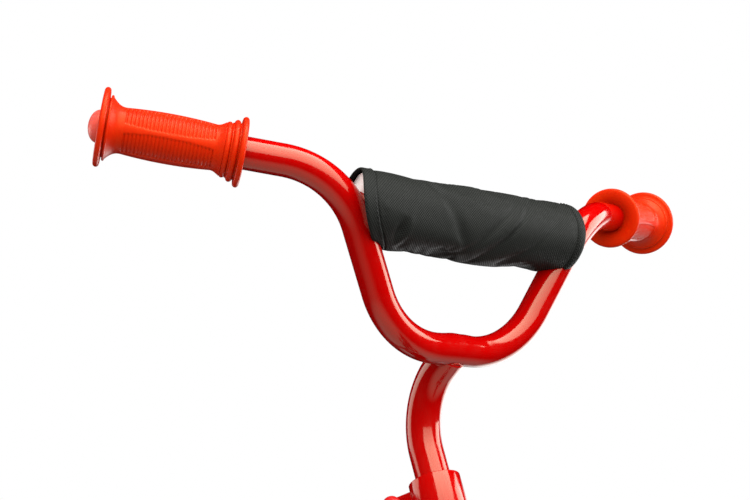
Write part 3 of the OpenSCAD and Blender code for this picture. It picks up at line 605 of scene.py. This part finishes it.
def grip(side):
    """A grip with its flanges, ribbed panels and bore, and the dome in its closed end."""
    name = "left" if side > 0 else "right"
    axis = Vector((GRIP_DIR.x, side * GRIP_DIR.y, GRIP_DIR.z))
    corner = Vector((UPPER_CORNER.x, side * UPPER_CORNER.y, UPPER_CORNER.z))
    start = BAR_AT + corner + axis * GRIP_START
    front = Vector((1, 0, -0.2))  # where the strip between the panels lies
    front = (front - axis * front.dot(axis)).normalized()
    up = axis.cross(front)
    sides = 144
    angles = [2 * math.pi * j / sides for j in range(sides)]
    verts = []
    rows = grip_outline()
    for h, r in rows:
        ribbed = GRIP_RIB_FROM - 1 < h < GRIP_RIB_TO + 1
        for a in angles:
            turned = abs((a + math.pi / 2) % math.pi - math.pi / 2)
            depth = rib_depth(h, turned * r) if ribbed else 0.0
            verts.append(start + axis * h * MM + (front * math.cos(a) + up * math.sin(a)) * (r - depth) * MM)
    faces = grid_faces(len(rows), sides)
    bore = [start + axis * h * MM + (front * math.cos(a) + up * math.sin(a)) * (BAR_R + 0.05 * MM)
            for h in (0, 80) for a in angles]
    base = len(verts)
    verts += bore
    last = (len(rows) - 1) * sides
    for j in range(sides):
        k = (j + 1) % sides
        faces.append((j, base + j, base + k, k))
        faces.append((base + j, base + sides + j, base + sides + k, base + k))
    faces.append(tuple(last + j for j in range(sides)))
    faces.append(tuple(base + sides + j for j in range(sides)))
    body = mesh_object(f"grip_{name}_body", verts, faces)
    finished(body, "bar", "grip_rubber", MATERIAL["grip_rubber"], f"grip_{name}")
    dome = [(9.4, -1.2), (10.5, -0.9)]
    dome += [(10.9 * math.cos(t), 7 * math.sin(t)) for t in [math.pi / 2 * i / 12 for i in range(12)]]
    dome.append((0.0, 7.0))
    profile = [(r * MM, (GRIP_LEN / MM + h) * MM) for r, h in dome]
    cap = revolved(f"grip_{name}_dome", profile, start, axis, 64)
    finished(cap, "bar", "grip_rubber", GRIP_DOME)


grip(1)
grip(-1)


# ---- Welds ----

def distance_to(point, path):
    """Distance from a point to a path of straight stretches."""
    best = 1e9
    for a, b in zip(path, path[1:]):
        ab = b - a
        t = min(1.0, max(0.0, (point - a).dot(ab) / ab.length_squared))
        best = min(best, (point - a - ab * t).length)
    return best


WELD_REACH = 60 * MM


def weld(name, body, slot, start, axis, radius, path, path_radius, size, about=None, narrowing=1.0):
    """A rippled bead where a tube, from start along axis, meets the skin of a tube along path.

    Where the first tube passes beside the second, the bead stays at its nearest approach.
    """
    axis = axis.normalized()
    x = about or axis.orthogonal().normalized()
    y = axis.cross(x) * narrowing
    count = 72
    middle = []
    for j in range(count):
        a = 2 * math.pi * j / count
        foot = start + (x * math.cos(a) + y * math.sin(a)) * radius
        near, far, closest = 0.0, None, 1e9
        t = 0.0
        while t < WELD_REACH:
            gap = distance_to(foot + axis * t, path)
            if gap < path_radius:
                far = t
                break
            if gap < closest:
                closest, near = gap, t
            t += 1.0 * MM
        if far is None:
            far = near
        for _ in range(12):
            t = (near + far) / 2
            if distance_to(foot + axis * t, path) < path_radius:
                far = t
            else:
                near = t
        middle.append(foot + axis * near)
    centre = sum(middle, Vector()) / count
    verts = []
    sides = 10
    for j, p in enumerate(middle):
        along = (middle[(j + 1) % count] - middle[j - 1]).normalized()
        out = p - start - axis * (p - start).dot(axis)
        out = (out - along * out.dot(along)).normalized()
        other = along.cross(out)
        ripple = 0.88 + 0.14 * abs(math.sin(j * 1.37)) + 0.1 * math.sin(j * 0.31 + 1)
        for k in range(sides):
            b = 2 * math.pi * k / sides
            verts.append(p + (out * math.cos(b) + other * math.sin(b)) * size * ripple)
    bead = mesh_object(name, verts, grid_faces(count, sides, wrap_rows=True))
    bead.modifiers.new("smooth", "SUBSURF").render_levels = 1
    return finished(bead, body, slot, MATERIAL[slot])


BAR_LINE = bent_path(bar_corners(), BAR_BENDS, 4 * MM)
weld("weld_stem", "bar", "bar_paint", BAR_AT - stem_dir * 32 * MM, stem_dir, STEM_R, BAR_LINE, BAR_R,
     1.3 * MM, Vector((0, 1, 0)), 0.86)
for side, name in ((1, "left"), (-1, "right")):
    weld(f"weld_cross_{name}", "bar", "bar_paint", CROSS_AT + Vector((0, side * 70, 0)) * MM,
         Vector((0, side, 0)), CROSS_R, BAR_LINE, BAR_R, 1.8 * MM)


# ---- Bar pad ----

# Round the pad, an angle of 0 is in front, and 90 degrees is on top
HEM = 10 * MM
CLOTH = 0.9 * MM


def pad_end(side, a):
    """Where the cover ends along Y. The right end is pulled out in front and in at its foot."""
    if side < 0:
        drawn = 2 - 11 * math.cos(a) - 6.5 * math.sin(a) - 3.75 * math.cos(2 * a) + 1.8 * math.sin(2 * a)
    else:
        drawn = -2.5 - math.sin(a)
    return side * (PAD_LEN / 2 - drawn * MM)


def pad_folds(y, a):
    """Swelling of the cover over its plain round shape."""
    y = y / MM
    swell = 0.7 * bump(a, 1.7, 0.7) * bump(y, -4, 9)  # a pinched thread on top
    swell -= 1.2 * bump(a, 1.6, 1.2) * bump(y, -48, 22)  # a hollow on top, towards the right end
    slanting = ((14, 26, 5.0, 1.5), (31, 20, 4.0, 0.9), (-30, -18, 5.0, 0.8), (62, 24, 5.0, 0.7))
    for at, slope, width, depth in slanting:
        swell -= depth * bump(y - at - slope * a, 0, width) * bump(a, -0.45, 0.75)
    swell += 0.9 * math.sin(y / 15.0 + 0.8) * bump(a, -1.5, 0.6)  # waves along the underside
    swell -= 2.6 * bump(y, -73, 3.6) * bump(a, -0.72, 0.26)  # the tuck beside the right end's hem
    swell += 0.9 * bump(y, -68, 3.0) * bump(a, -0.62, 0.3)
    return swell * MM


def pad_rows():
    """Places along the cover from 0 to 1, close together in its hems."""
    hem = [0, 0.4, 0.9, 1.5, 2.4, 3.6, 5, 6.4, 7.6, 8.4, 9, 9.4, 9.8, 10.2, 10.6, 11, 11.5, 12.2, 13.2]
    length = PAD_LEN / MM
    middle = [13.2 + (length - 26.4) * k / 96 for k in range(1, 96)]
    return [r / length for r in hem + middle + [length - h for h in reversed(hem)]]


def pad_cover_mesh():
    """The cover as a grid of rows round the crossbar, with weights that hold its ends in a simulation."""
    cols = 120
    rows = pad_rows()
    verts, held = [], []
    for t in rows:
        for j in range(cols):
            a = 2 * math.pi * j / cols - math.pi
            low, high = pad_end(-1, a), pad_end(1, a)
            y = low + (high - low) * t
            from_low, from_high = y - low, high - y
            r = PAD_R - CLOTH
            r *= 1 + 0.012 * math.sin(2 * a + 0.6)  # a little oval
            edge = min(from_low, from_high)
            hem = 1 - smoothstep(HEM - 0.5 * MM, HEM + 0.5 * MM, edge)
            seam = bump(edge / MM, HEM / MM + 0.5, 0.8)
            r += 0.6 * MM * hem - 0.9 * MM * seam
            r -= 1.2 * MM * (1 - smoothstep(0, 1.4 * MM, edge)) ** 2  # the hem's rounded lip
            r -= 3.4 * MM * (1 - smoothstep(0, 7 * MM, from_high)) ** 2  # the left end draws in
            r += pad_folds(y, a) * smoothstep(0.4 * HEM, HEM * 1.2, edge)
            verts.append(PAD_AT + Vector((math.cos(a) * r, y, math.sin(a) * r)))
            held.append(1 - smoothstep(HEM, HEM * 1.6, edge) * 0.97)
    obj = mesh_object("pad_cover_cloth", verts, grid_faces(len(rows), cols))
    group = obj.vertex_groups.new(name="held")
    for i, w in enumerate(held):
        group.add([i], w, "REPLACE")
    return obj


def simulated(obj, frames, cap, **settings):
    """Runs a cloth simulation, caps how far each point moves, and keeps the result in the mesh."""
    before = np.empty(len(obj.data.vertices) * 3)
    obj.data.vertices.foreach_get("co", before)
    cloth = obj.modifiers.new("cloth", "CLOTH")
    for key, value in settings.items():
        setattr(cloth.settings, key, value)
    cloth.settings.effector_weights.gravity = 0
    cloth.settings.quality = 5
    cloth.point_cache.frame_start = 1
    cloth.point_cache.frame_end = frames
    scene = bpy.context.scene
    for frame_number in range(1, frames + 1):
        scene.frame_set(frame_number)
    moved = obj.evaluated_get(bpy.context.evaluated_depsgraph_get()).data
    after = np.empty(len(before))
    moved.vertices.foreach_get("co", after)
    obj.modifiers.remove(cloth)
    shift = (after - before).reshape(-1, 3)
    length = np.linalg.norm(shift, axis=1, keepdims=True)
    shift *= cap * np.tanh(length / cap) / np.maximum(length, 1e-9)
    obj.data.vertices.foreach_set("co", (before.reshape(-1, 3) + shift).ravel())
    obj.data.update()
    scene.frame_set(1)
    return obj


def clear_of_bar(gap):
    """The bar without the stretches under its grips, and thicker by gap, to cut room for it."""
    return tube("cutter", bent_path(bar_corners(10 * MM), BAR_BENDS, 4 * MM), BAR_R + gap, 48)


cover = pad_cover_mesh()
simulated(cover, 22, 1.6 * MM, use_pressure=True, uniform_pressure_force=1.2, shrink_min=-0.012,
          vertex_group_mass="held", tension_stiffness=20, compression_stiffness=20, bending_stiffness=3.0,
          mass=0.25)
shell = cover.modifiers.new("shell", "SOLIDIFY")
shell.thickness = CLOTH
shell.offset = 0
applied(cover)
cut_away(cover, clear_of_bar(0.6 * MM))
finished(cover, "bar", "pad_fabric", MATERIAL["pad_fabric"], "bar_pad_cover")


def on_hem(side, a):
    """A point on the line of stitches along a hem."""
    r = PAD_R + 0.1 * MM
    return PAD_AT + Vector((math.cos(a) * r, pad_end(side, a) - side * (HEM - 1.5 * MM), math.sin(a) * r))


def pad_stitches():
    """Lock stitches along both hems."""
    pieces = []
    count = 52
    stitch = 0.62  # of the distance from one stitch to the next
    for side in (-1, 1):
        for j in range(count):
            a = 2 * math.pi * j / count
            p = on_hem(side, a)
            q = on_hem(side, a + 2 * math.pi / count * stitch)
            mid = (p + q) / 2 + Vector((math.cos(a), 0, math.sin(a))) * 0.3 * MM
            pieces.append(tube("stitch", [p, mid, q], lambda i, t: (0.18, 0.34, 0.18)[i] * MM, 6))
    stitches = joined("pad_stitches", pieces)
    return finished(stitches, "bar", "pad_fabric", PAD_THREAD)


pad_stitches()


def pad_foam():
    """The foam sleeve round the crossbar, thinner in its middle, where the cover sinks."""
    rows, cols = 48, 72
    right_face, left_face = -88, 84
    verts = []
    for i in range(rows):
        t = 0.5 - 0.5 * math.cos(math.pi * i / (rows - 1))
        for j in range(cols):
            a = 2 * math.pi * j / cols
            low = max(pad_end(-1, a) + 4 * MM, -95 * MM)
            high = left_face * MM + 5 * MM * math.sin(a)
            y = low + (high - low) * t
            edge = min(y - low, high - y)
            r = PAD_R - 4.6 * MM + 2.5 * MM * (1 - smoothstep(5 * MM, 9 * MM, y - low))
            r -= 0.9 * MM * (1 - smoothstep(0, 2.5 * MM, edge)) ** 2
            verts.append(PAD_AT + Vector((math.cos(a) * r, y, math.sin(a) * r)))
    faces = grid_faces(rows, cols)
    base = len(verts)
    last = (rows - 1) * cols
    for row in (0, last):
        for j in range(cols):
            a = 2 * math.pi * j / cols
            y = verts[row + j].y + (1.5 if row == 0 else -1.5) * MM
            y = y * 0.6 + (right_face if row == 0 else left_face) * MM * 0.4
            hole = 8.2 * MM
            verts.append(CROSS_AT + Vector((math.cos(a) * hole, y, math.sin(a) * hole)))
    for j in range(cols):
        k = (j + 1) % cols
        faces.append((j, k, base + k, base + j))
        faces.append((last + k, last + j, base + cols + j, base + cols + k))
        faces.append((base + j, base + k, base + cols + k, base + cols + j))
    return mesh_object("pad_foam_sleeve", verts, faces)


foam_piece = pad_foam()
finished(foam_piece, "bar", "pad_foam", MATERIAL["pad_foam"], "bar_pad_foam")


# ---- Collars, nuts and plates: broken edges on the CAD shapes ----

def softened(node, width):
    """Rounds a CAD node's sharp edges by a small bevel."""
    obj = frame["nodes"][node]
    merge = obj.modifiers.new("merge", "WELD")
    merge.merge_threshold = 0.01 * MM
    bevel = obj.modifiers.new("bevel", "BEVEL")
    bevel.width = width
    bevel.segments = 3
    bevel.limit_method = "ANGLE"
    bevel.angle_limit = math.radians(35)
    bevel.harden_normals = True
    bevel.use_clamp_overlap = True


for node, width in (
        ("stem_collar", 0.9), ("seat_clamp", 0.8), ("fork_crown", 0.8),
        ("fork_dropout_left", 0.6), ("fork_dropout_right", 0.6),
        ("rear_dropout_left", 0.6), ("rear_dropout_right", 0.6), ("lock_nut", 0.4),
        ("front_axle_nuts", 0.3), ("rear_axle_nuts", 0.3), ("front_washers", 0.3), ("rear_washers", 0.3)):
    softened(node, width * MM)


# ---- Frame welds ----

SEAT_FOOT = Vector((-97, 0, 148)) * MM
SEAT_LINE = [SEAT_FOOT, SEAT_FOOT + SEAT_UP * 157 * MM]
SEAT_TUBE_R = 14.3 * MM
HEAD_LINE = [STEER_FOOT + UP * 185 * MM, STEER_FOOT + UP * 261 * MM]
HEAD_TUBE_R = 20 * MM
MAIN_TUBE_R = 17 * MM
MAIN_TOP = STEER_FOOT + UP * 217 * MM  # corners of the main tube's centreline
MAIN_KNEE = Vector((52, 0, 172)) * MM
main_up = (MAIN_TOP - MAIN_KNEE).normalized()
weld("weld_head", "frame", "red_paint", MAIN_TOP - main_up * 62 * MM, main_up, MAIN_TUBE_R, HEAD_LINE,
     HEAD_TUBE_R, 2.6 * MM)
weld("weld_seat", "frame", "red_paint", Vector((-62, 0, 172)) * MM, Vector((-1, 0, 0)), MAIN_TUBE_R,
     SEAT_LINE, SEAT_TUBE_R, 2.6 * MM)


# ---- Tyres ----

TYRE_R = FRONT_AXLE.z
TYRE_SECTION = 45 * MM / 2
BEAD_R = 101.5 * MM
BEAD_HALF = 12.4 * MM  # half of the width between the rim's sides
TREAD = 1.9 * MM
TREAD_PITCHES = 64
PITCH_ROWS = 12


def tread(turn, around):
    """How much of a block stands at a point, from 0 to 1.

    turn is in pitches along the tyre, and around is in mm from its middle line.
    """
    side = 1 if around > 0 else -1
    reach = abs(around)
    shift = turn + 0.25 * side + 0.012 * reach
    cell = abs((shift % 1.0) - 0.5)
    middle = (1 - smoothstep(2.4, 3.1, reach)) * smoothstep(0.07, 0.12, abs(((turn + 0.2) % 1.0) - 0.5))
    inner = smoothstep(4.2, 4.9, reach) * (1 - smoothstep(11.0, 11.8, reach)) * smoothstep(0.09, 0.14, cell)
    outer = smoothstep(13.2, 13.9, reach) * (1 - smoothstep(19.0, 20.4, reach))
    outer *= smoothstep(0.12, 0.17, abs(cell - 0.5))
    return max(middle, inner, outer)


def tyre(name, body, axle):
    """A tyre's skin: tread blocks, two moulded lines on its walls, and beads that fit inside the rim."""
    rows = TREAD_PITCHES * PITCH_ROWS
    half_turn = math.radians(152)
    cols = 66
    centre = TYRE_R - TYRE_SECTION
    angles = [(2 * j / (cols - 1) - 1) * half_turn for j in range(cols)]
    heights = [[tread(k / PITCH_ROWS, s * TYRE_SECTION / MM) for s in angles] for k in range(PITCH_ROWS)]
    verts = []
    for i in range(rows):
        t = 2 * math.pi * i / rows
        out = Vector((math.sin(t), 0, math.cos(t)))
        for s, height in zip(angles, heights[i % PITCH_ROWS]):
            reach = abs(s) * TYRE_SECTION / MM
            base = TYRE_SECTION - TREAD
            lines = 0.3 * bump(reach, 34, 0.9) + 0.25 * bump(reach, 38, 0.7)
            r = base + TREAD * height * (1 - 0.25 * smoothstep(10, 20, reach))
            r += lines * MM
            r += (TREAD - 0.2 * MM) * smoothstep(math.radians(60), math.radians(80), abs(s))
            y = r * math.sin(s)
            z = centre + r * math.cos(s)
            inner = max(0.0, BEAD_R + 3.2 * MM - z)
            if z < BEAD_R + 8 * MM:
                y = math.copysign(min(abs(y), BEAD_HALF + 0.4 * max(0.0, z - BEAD_R - 6.2 * MM)), y)
            verts.append(axle + out * (z + inner) + Vector((0, y, 0)))
    faces = grid_faces(rows, cols, wrap_rows=True, wrap_cols=False)
    obj = mesh_object(f"{name}_tread", verts, faces)
    shell = obj.modifiers.new("shell", "SOLIDIFY")
    shell.thickness = 1.0 * MM
    shell.offset = -1
    finished(obj, body, "tyre_rubber", MATERIAL["tyre_rubber"], name)


tyre("front_tyre", "front_wheel", FRONT_AXLE)
tyre("rear_tyre", "rear_wheel", REAR_AXLE)


# ---- Saddle ----

SEAT_TOP = Vector((-139.3, 0, 317.8)) * MM
SADDLE_LEN = 232 * MM
SADDLE_W = 134 * MM
SADDLE_BASE_H = 9 * MM
SADDLE_H = 42 * MM
SADDLE_BACK = SEAT_TOP.x - 0.44 * SADDLE_LEN
SADDLE_MIDDLE = Vector((SADDLE_BACK + 0.42 * SADDLE_LEN, 0, 0))
PIPING_R = 1.9 * MM


def saddle_half_width(x):
    """Half of the saddle's width at a distance from its back. Its corners are round and its sides straight."""
    back, nose = 30 * MM, 19 * MM
    corner = Vector((back, SADDLE_W / 2 - back))
    tip = Vector((SADDLE_LEN - nose, 0))
    turn = math.acos((back - nose) / (tip - corner).length) + math.atan2(*reversed(tip - corner))
    if x < back + back * math.cos(turn):
        return corner.y + math.sqrt(max(0.0, back ** 2 - (x - back) ** 2))
    if x > tip.x + nose * math.cos(turn):
        return math.sqrt(max(0.0, nose ** 2 - (x - tip.x) ** 2))
    reach = corner.x * math.cos(turn) + corner.y * math.sin(turn) + back
    return (reach - x * math.cos(turn)) / math.sin(turn)


def saddle_outline(count):
    """Points round the saddle, from the middle of its back."""
    half = []
    for i in range(count + 1):
        t = 0.5 - 0.5 * math.cos(math.pi * i / count)
        half.append(Vector((SADDLE_BACK + t * SADDLE_LEN, saddle_half_width(t * SADDLE_LEN), 0)))
    half.insert(0, Vector((SADDLE_BACK, half[0].y * 0.5, 0)))
    half.insert(0, Vector((SADDLE_BACK, 0, 0)))
    return half + [Vector((p.x, -p.y, 0)) for p in reversed(half[1:-1])]


def saddle_cushion():
    """The cushion: it pulls in at its foot, swells at its middle, and its top is crowned and dished."""
    outline = saddle_outline(48)
    centre = SADDLE_MIDDLE
    base = SEAT_TOP.z + SADDLE_BASE_H
    # How high each layer is, and how large, as parts of the whole
    layers = [(0.0, 0.965), (0.08, 0.98), (0.25, 0.99), (0.45, 0.985), (0.62, 0.965), (0.76, 0.93),
              (0.87, 0.86), (0.94, 0.76), (0.985, 0.62), (1.0, 0.42), (1.005, 0.2)]
    verts = []
    for height, scale in layers:
        for p in outline:
            q = centre + (p - centre) * scale
            t = (q.x - SADDLE_BACK) / SADDLE_LEN
            crown = 0.86 + 0.14 * smoothstep(0.35, 0.0, t) - 0.1 * bump(t, 0.95, 0.25)
            top = SADDLE_H * (crown - 0.05 * bump(t, 0.5, 0.22))
            verts.append(Vector((q.x, q.y, base + top * height)))
    count = len(outline)
    faces = grid_faces(len(layers), count)
    verts.append(centre + Vector((0, 0, base + SADDLE_H * 0.85)))
    last = (len(layers) - 1) * count
    faces += [(last + j, last + (j + 1) % count, len(verts) - 1) for j in range(count)]
    faces.append(tuple(range(count - 1, -1, -1)))
    return mesh_object("saddle_cushion", verts, faces)


cushion = saddle_cushion()
remesh = cushion.modifiers.new("remesh", "REMESH")
remesh.mode = "VOXEL"
remesh.voxel_size = 5 * MM
applied(cushion)
low = SEAT_TOP.z + SADDLE_BASE_H + 5 * MM
held = cushion.vertex_groups.new(name="held")
held.add([v.index for v in cushion.data.vertices if v.co.z < low], 1.0, "REPLACE")
simulated(cushion, 20, 2.5 * MM, use_pressure=True, uniform_pressure_force=4, vertex_group_mass="held")
smooth = cushion.modifiers.new("smooth", "SUBSURF")
smooth.levels = smooth.render_levels = 1
applied(cushion)
cushion.data.polygons.foreach_set("use_smooth", [True] * len(cushion.data.polygons))
finished(cushion, "saddle", "saddle_vinyl", MATERIAL["saddle_vinyl"], "saddle_pad")


def saddle_piping():
    """A cord of piping round the foot of the cushion."""
    z = SEAT_TOP.z + SADDLE_BASE_H + 1.4 * MM
    inner = [SADDLE_MIDDLE + (p - SADDLE_MIDDLE) * 0.968 for p in saddle_outline(60)]
    points = [Vector((p.x, p.y, z)) for p in inner]
    count, sides = len(points), 10
    verts = []
    for j, p in enumerate(points):
        along_it = (points[(j + 1) % count] - points[j - 1]).normalized()
        out = along_it.cross(Vector((0, 0, 1)))
        for k in range(sides):
            a = 2 * math.pi * k / sides
            verts.append(p + (out * math.cos(a) + Vector((0, 0, 1)) * math.sin(a)) * PIPING_R)
    return mesh_object("saddle_piping", verts, grid_faces(count, sides, wrap_rows=True))


finished(saddle_piping(), "saddle", "saddle_vinyl", MATERIAL["saddle_vinyl"])
softened("saddle_base", 1.2 * MM)


# ---- Stage, light and camera ----

def direction(azimuth, elevation):
    """Unit vector: azimuth 0 is +X and 90 is +Y."""
    a, e = math.radians(azimuth), math.radians(elevation)
    return Vector((math.cos(e) * math.cos(a), math.cos(e) * math.sin(a), math.sin(e)))


# Radiances of the room: what lights dull surfaces from above and below, and what shiny ones mirror
FILL = 1.5
FILL_BELOW = 0.55
DARK_ROOM = 0.0
FLOOR_GLOW = 1.0
BACKDROP_GLOW = 3.5
LIGHT_AT = BAR_AT + Vector((0, 0, 40)) * MM
LIGHT_AWAY = 1.7


def soft_box(name, azimuth, elevation, width, height, radiance, fade=1.0):
    """A rectangular soft box that faces the handlebar. fade is its lower edge's part of its light."""
    data = bpy.data.lights.new(name, "AREA")
    data.shape = "RECTANGLE"
    data.size, data.size_y = width * LIGHT_AWAY, height * LIGHT_AWAY
    data.energy = radiance * math.pi * data.size * data.size_y
    obj = bpy.data.objects.new(name, data)
    bpy.context.scene.collection.objects.link(obj)
    toward = direction(azimuth, elevation)
    obj.location = LIGHT_AT + toward * LIGHT_AWAY
    obj.rotation_euler = (-toward).to_track_quat("-Z", "Y").to_euler()
    obj.visible_camera = False
    if fade < 1:
        data.use_nodes = True
        tree = data.node_tree
        emission = tree.nodes["Emission"]
        place = tree.nodes.new("ShaderNodeTexCoord")
        split = tree.nodes.new("ShaderNodeSeparateXYZ")
        ramp = tree.nodes.new("ShaderNodeMapRange")
        ramp.inputs["To Min"].default_value = fade
        ramp.inputs["To Max"].default_value = 1.0
        tree.links.new(place.outputs["UV"], split.inputs[0])
        tree.links.new(split.outputs["Y"], ramp.inputs["Value"])
        tree.links.new(ramp.outputs[0], emission.inputs["Strength"])
    return obj


soft_box("key_box", -10, 43, 1.36, 1.54, 10, fade=0.3)
soft_box("right_box", 69, 14, 0.58, 0.6, 7)
soft_box("left_box", -148, 6, 0.64, 0.34, 3)

floor = mesh_object("floor", [(-6, -6, 0), (6, -6, 0), (6, 6, 0), (-6, 6, 0)], [(0, 1, 2, 3)], smooth=False)
floor_look = Graph("floor_paper", (0.86, 0.86, 0.86), 0.8)
floor_look.colour(floor_look.ramp(floor_look.noise(3, 2), (0.3, 0.85), (0.7, 0.87)))
floor.data.materials.append(floor_look.material)
floor.visible_glossy = False
floor.visible_diffuse = False

world = bpy.data.worlds.new("studio")
world.use_nodes = True
bpy.context.scene.world = world
tree = world.node_tree
background = tree.nodes["Background"]
background.inputs["Color"].default_value = (1, 1, 1, 1)


def world_node(kind, *inputs, **settings):
    """Adds a node to the world's tree: its inputs are numbers, vectors, outputs or None."""
    made = tree.nodes.new(kind)
    for key, value in settings.items():
        setattr(made, key, value)
    for socket, value in zip(made.inputs, inputs):
        if isinstance(value, bpy.types.NodeSocket):
            tree.links.new(value, socket)
        elif value is not None:
            socket.default_value = value
    return made


rays = world_node("ShaderNodeLightPath").outputs
toward = world_node("ShaderNodeTexCoord").outputs["Generated"]
height = world_node("ShaderNodeSeparateXYZ", toward).outputs["Z"]
below = world_node("ShaderNodeMapRange", height, -0.55, -0.88, DARK_ROOM, FLOOR_GLOW,
                   interpolation_type="SMOOTHSTEP")
backdrop = world_node("ShaderNodeVectorMath", toward, tuple(direction(113, -15)), operation="DOT_PRODUCT")
beside = world_node("ShaderNodeMapRange", backdrop.outputs["Value"], 0.88, 0.97, 0.0, BACKDROP_GLOW,
                    interpolation_type="SMOOTHSTEP")
mirrored_room = world_node("ShaderNodeMath", below.outputs[0], beside.outputs[0], operation="ADD")
fill = world_node("ShaderNodeMapRange", height, -0.8, 0.2, FILL_BELOW, FILL, interpolation_type="SMOOTHSTEP")
lit = world_node("ShaderNodeMix", rays["Is Glossy Ray"], None, fill.outputs[0], mirrored_room.outputs[0])
seen = world_node("ShaderNodeMix", rays["Is Camera Ray"], None, lit.outputs[0], 1.0)
tree.links.new(seen.outputs[0], background.inputs["Strength"])

CAMERA_AT = Vector((986, -688, 379)) * MM
CAMERA_LOOK = Vector((-0.782, 0.595, 0.186))
CAMERA_LENS = 72.8
camera_data = bpy.data.cameras.new("camera")
camera_data.lens = CAMERA_LENS
camera_data.clip_start = 0.05
camera = bpy.data.objects.new("camera", camera_data)
bpy.context.scene.collection.objects.link(camera)
camera.location = CAMERA_AT
camera.rotation_euler = CAMERA_LOOK.to_track_quat("-Z", "Y").to_euler()
bpy.context.scene.camera = camera
bpy.context.scene.view_settings.view_transform = "Standard"
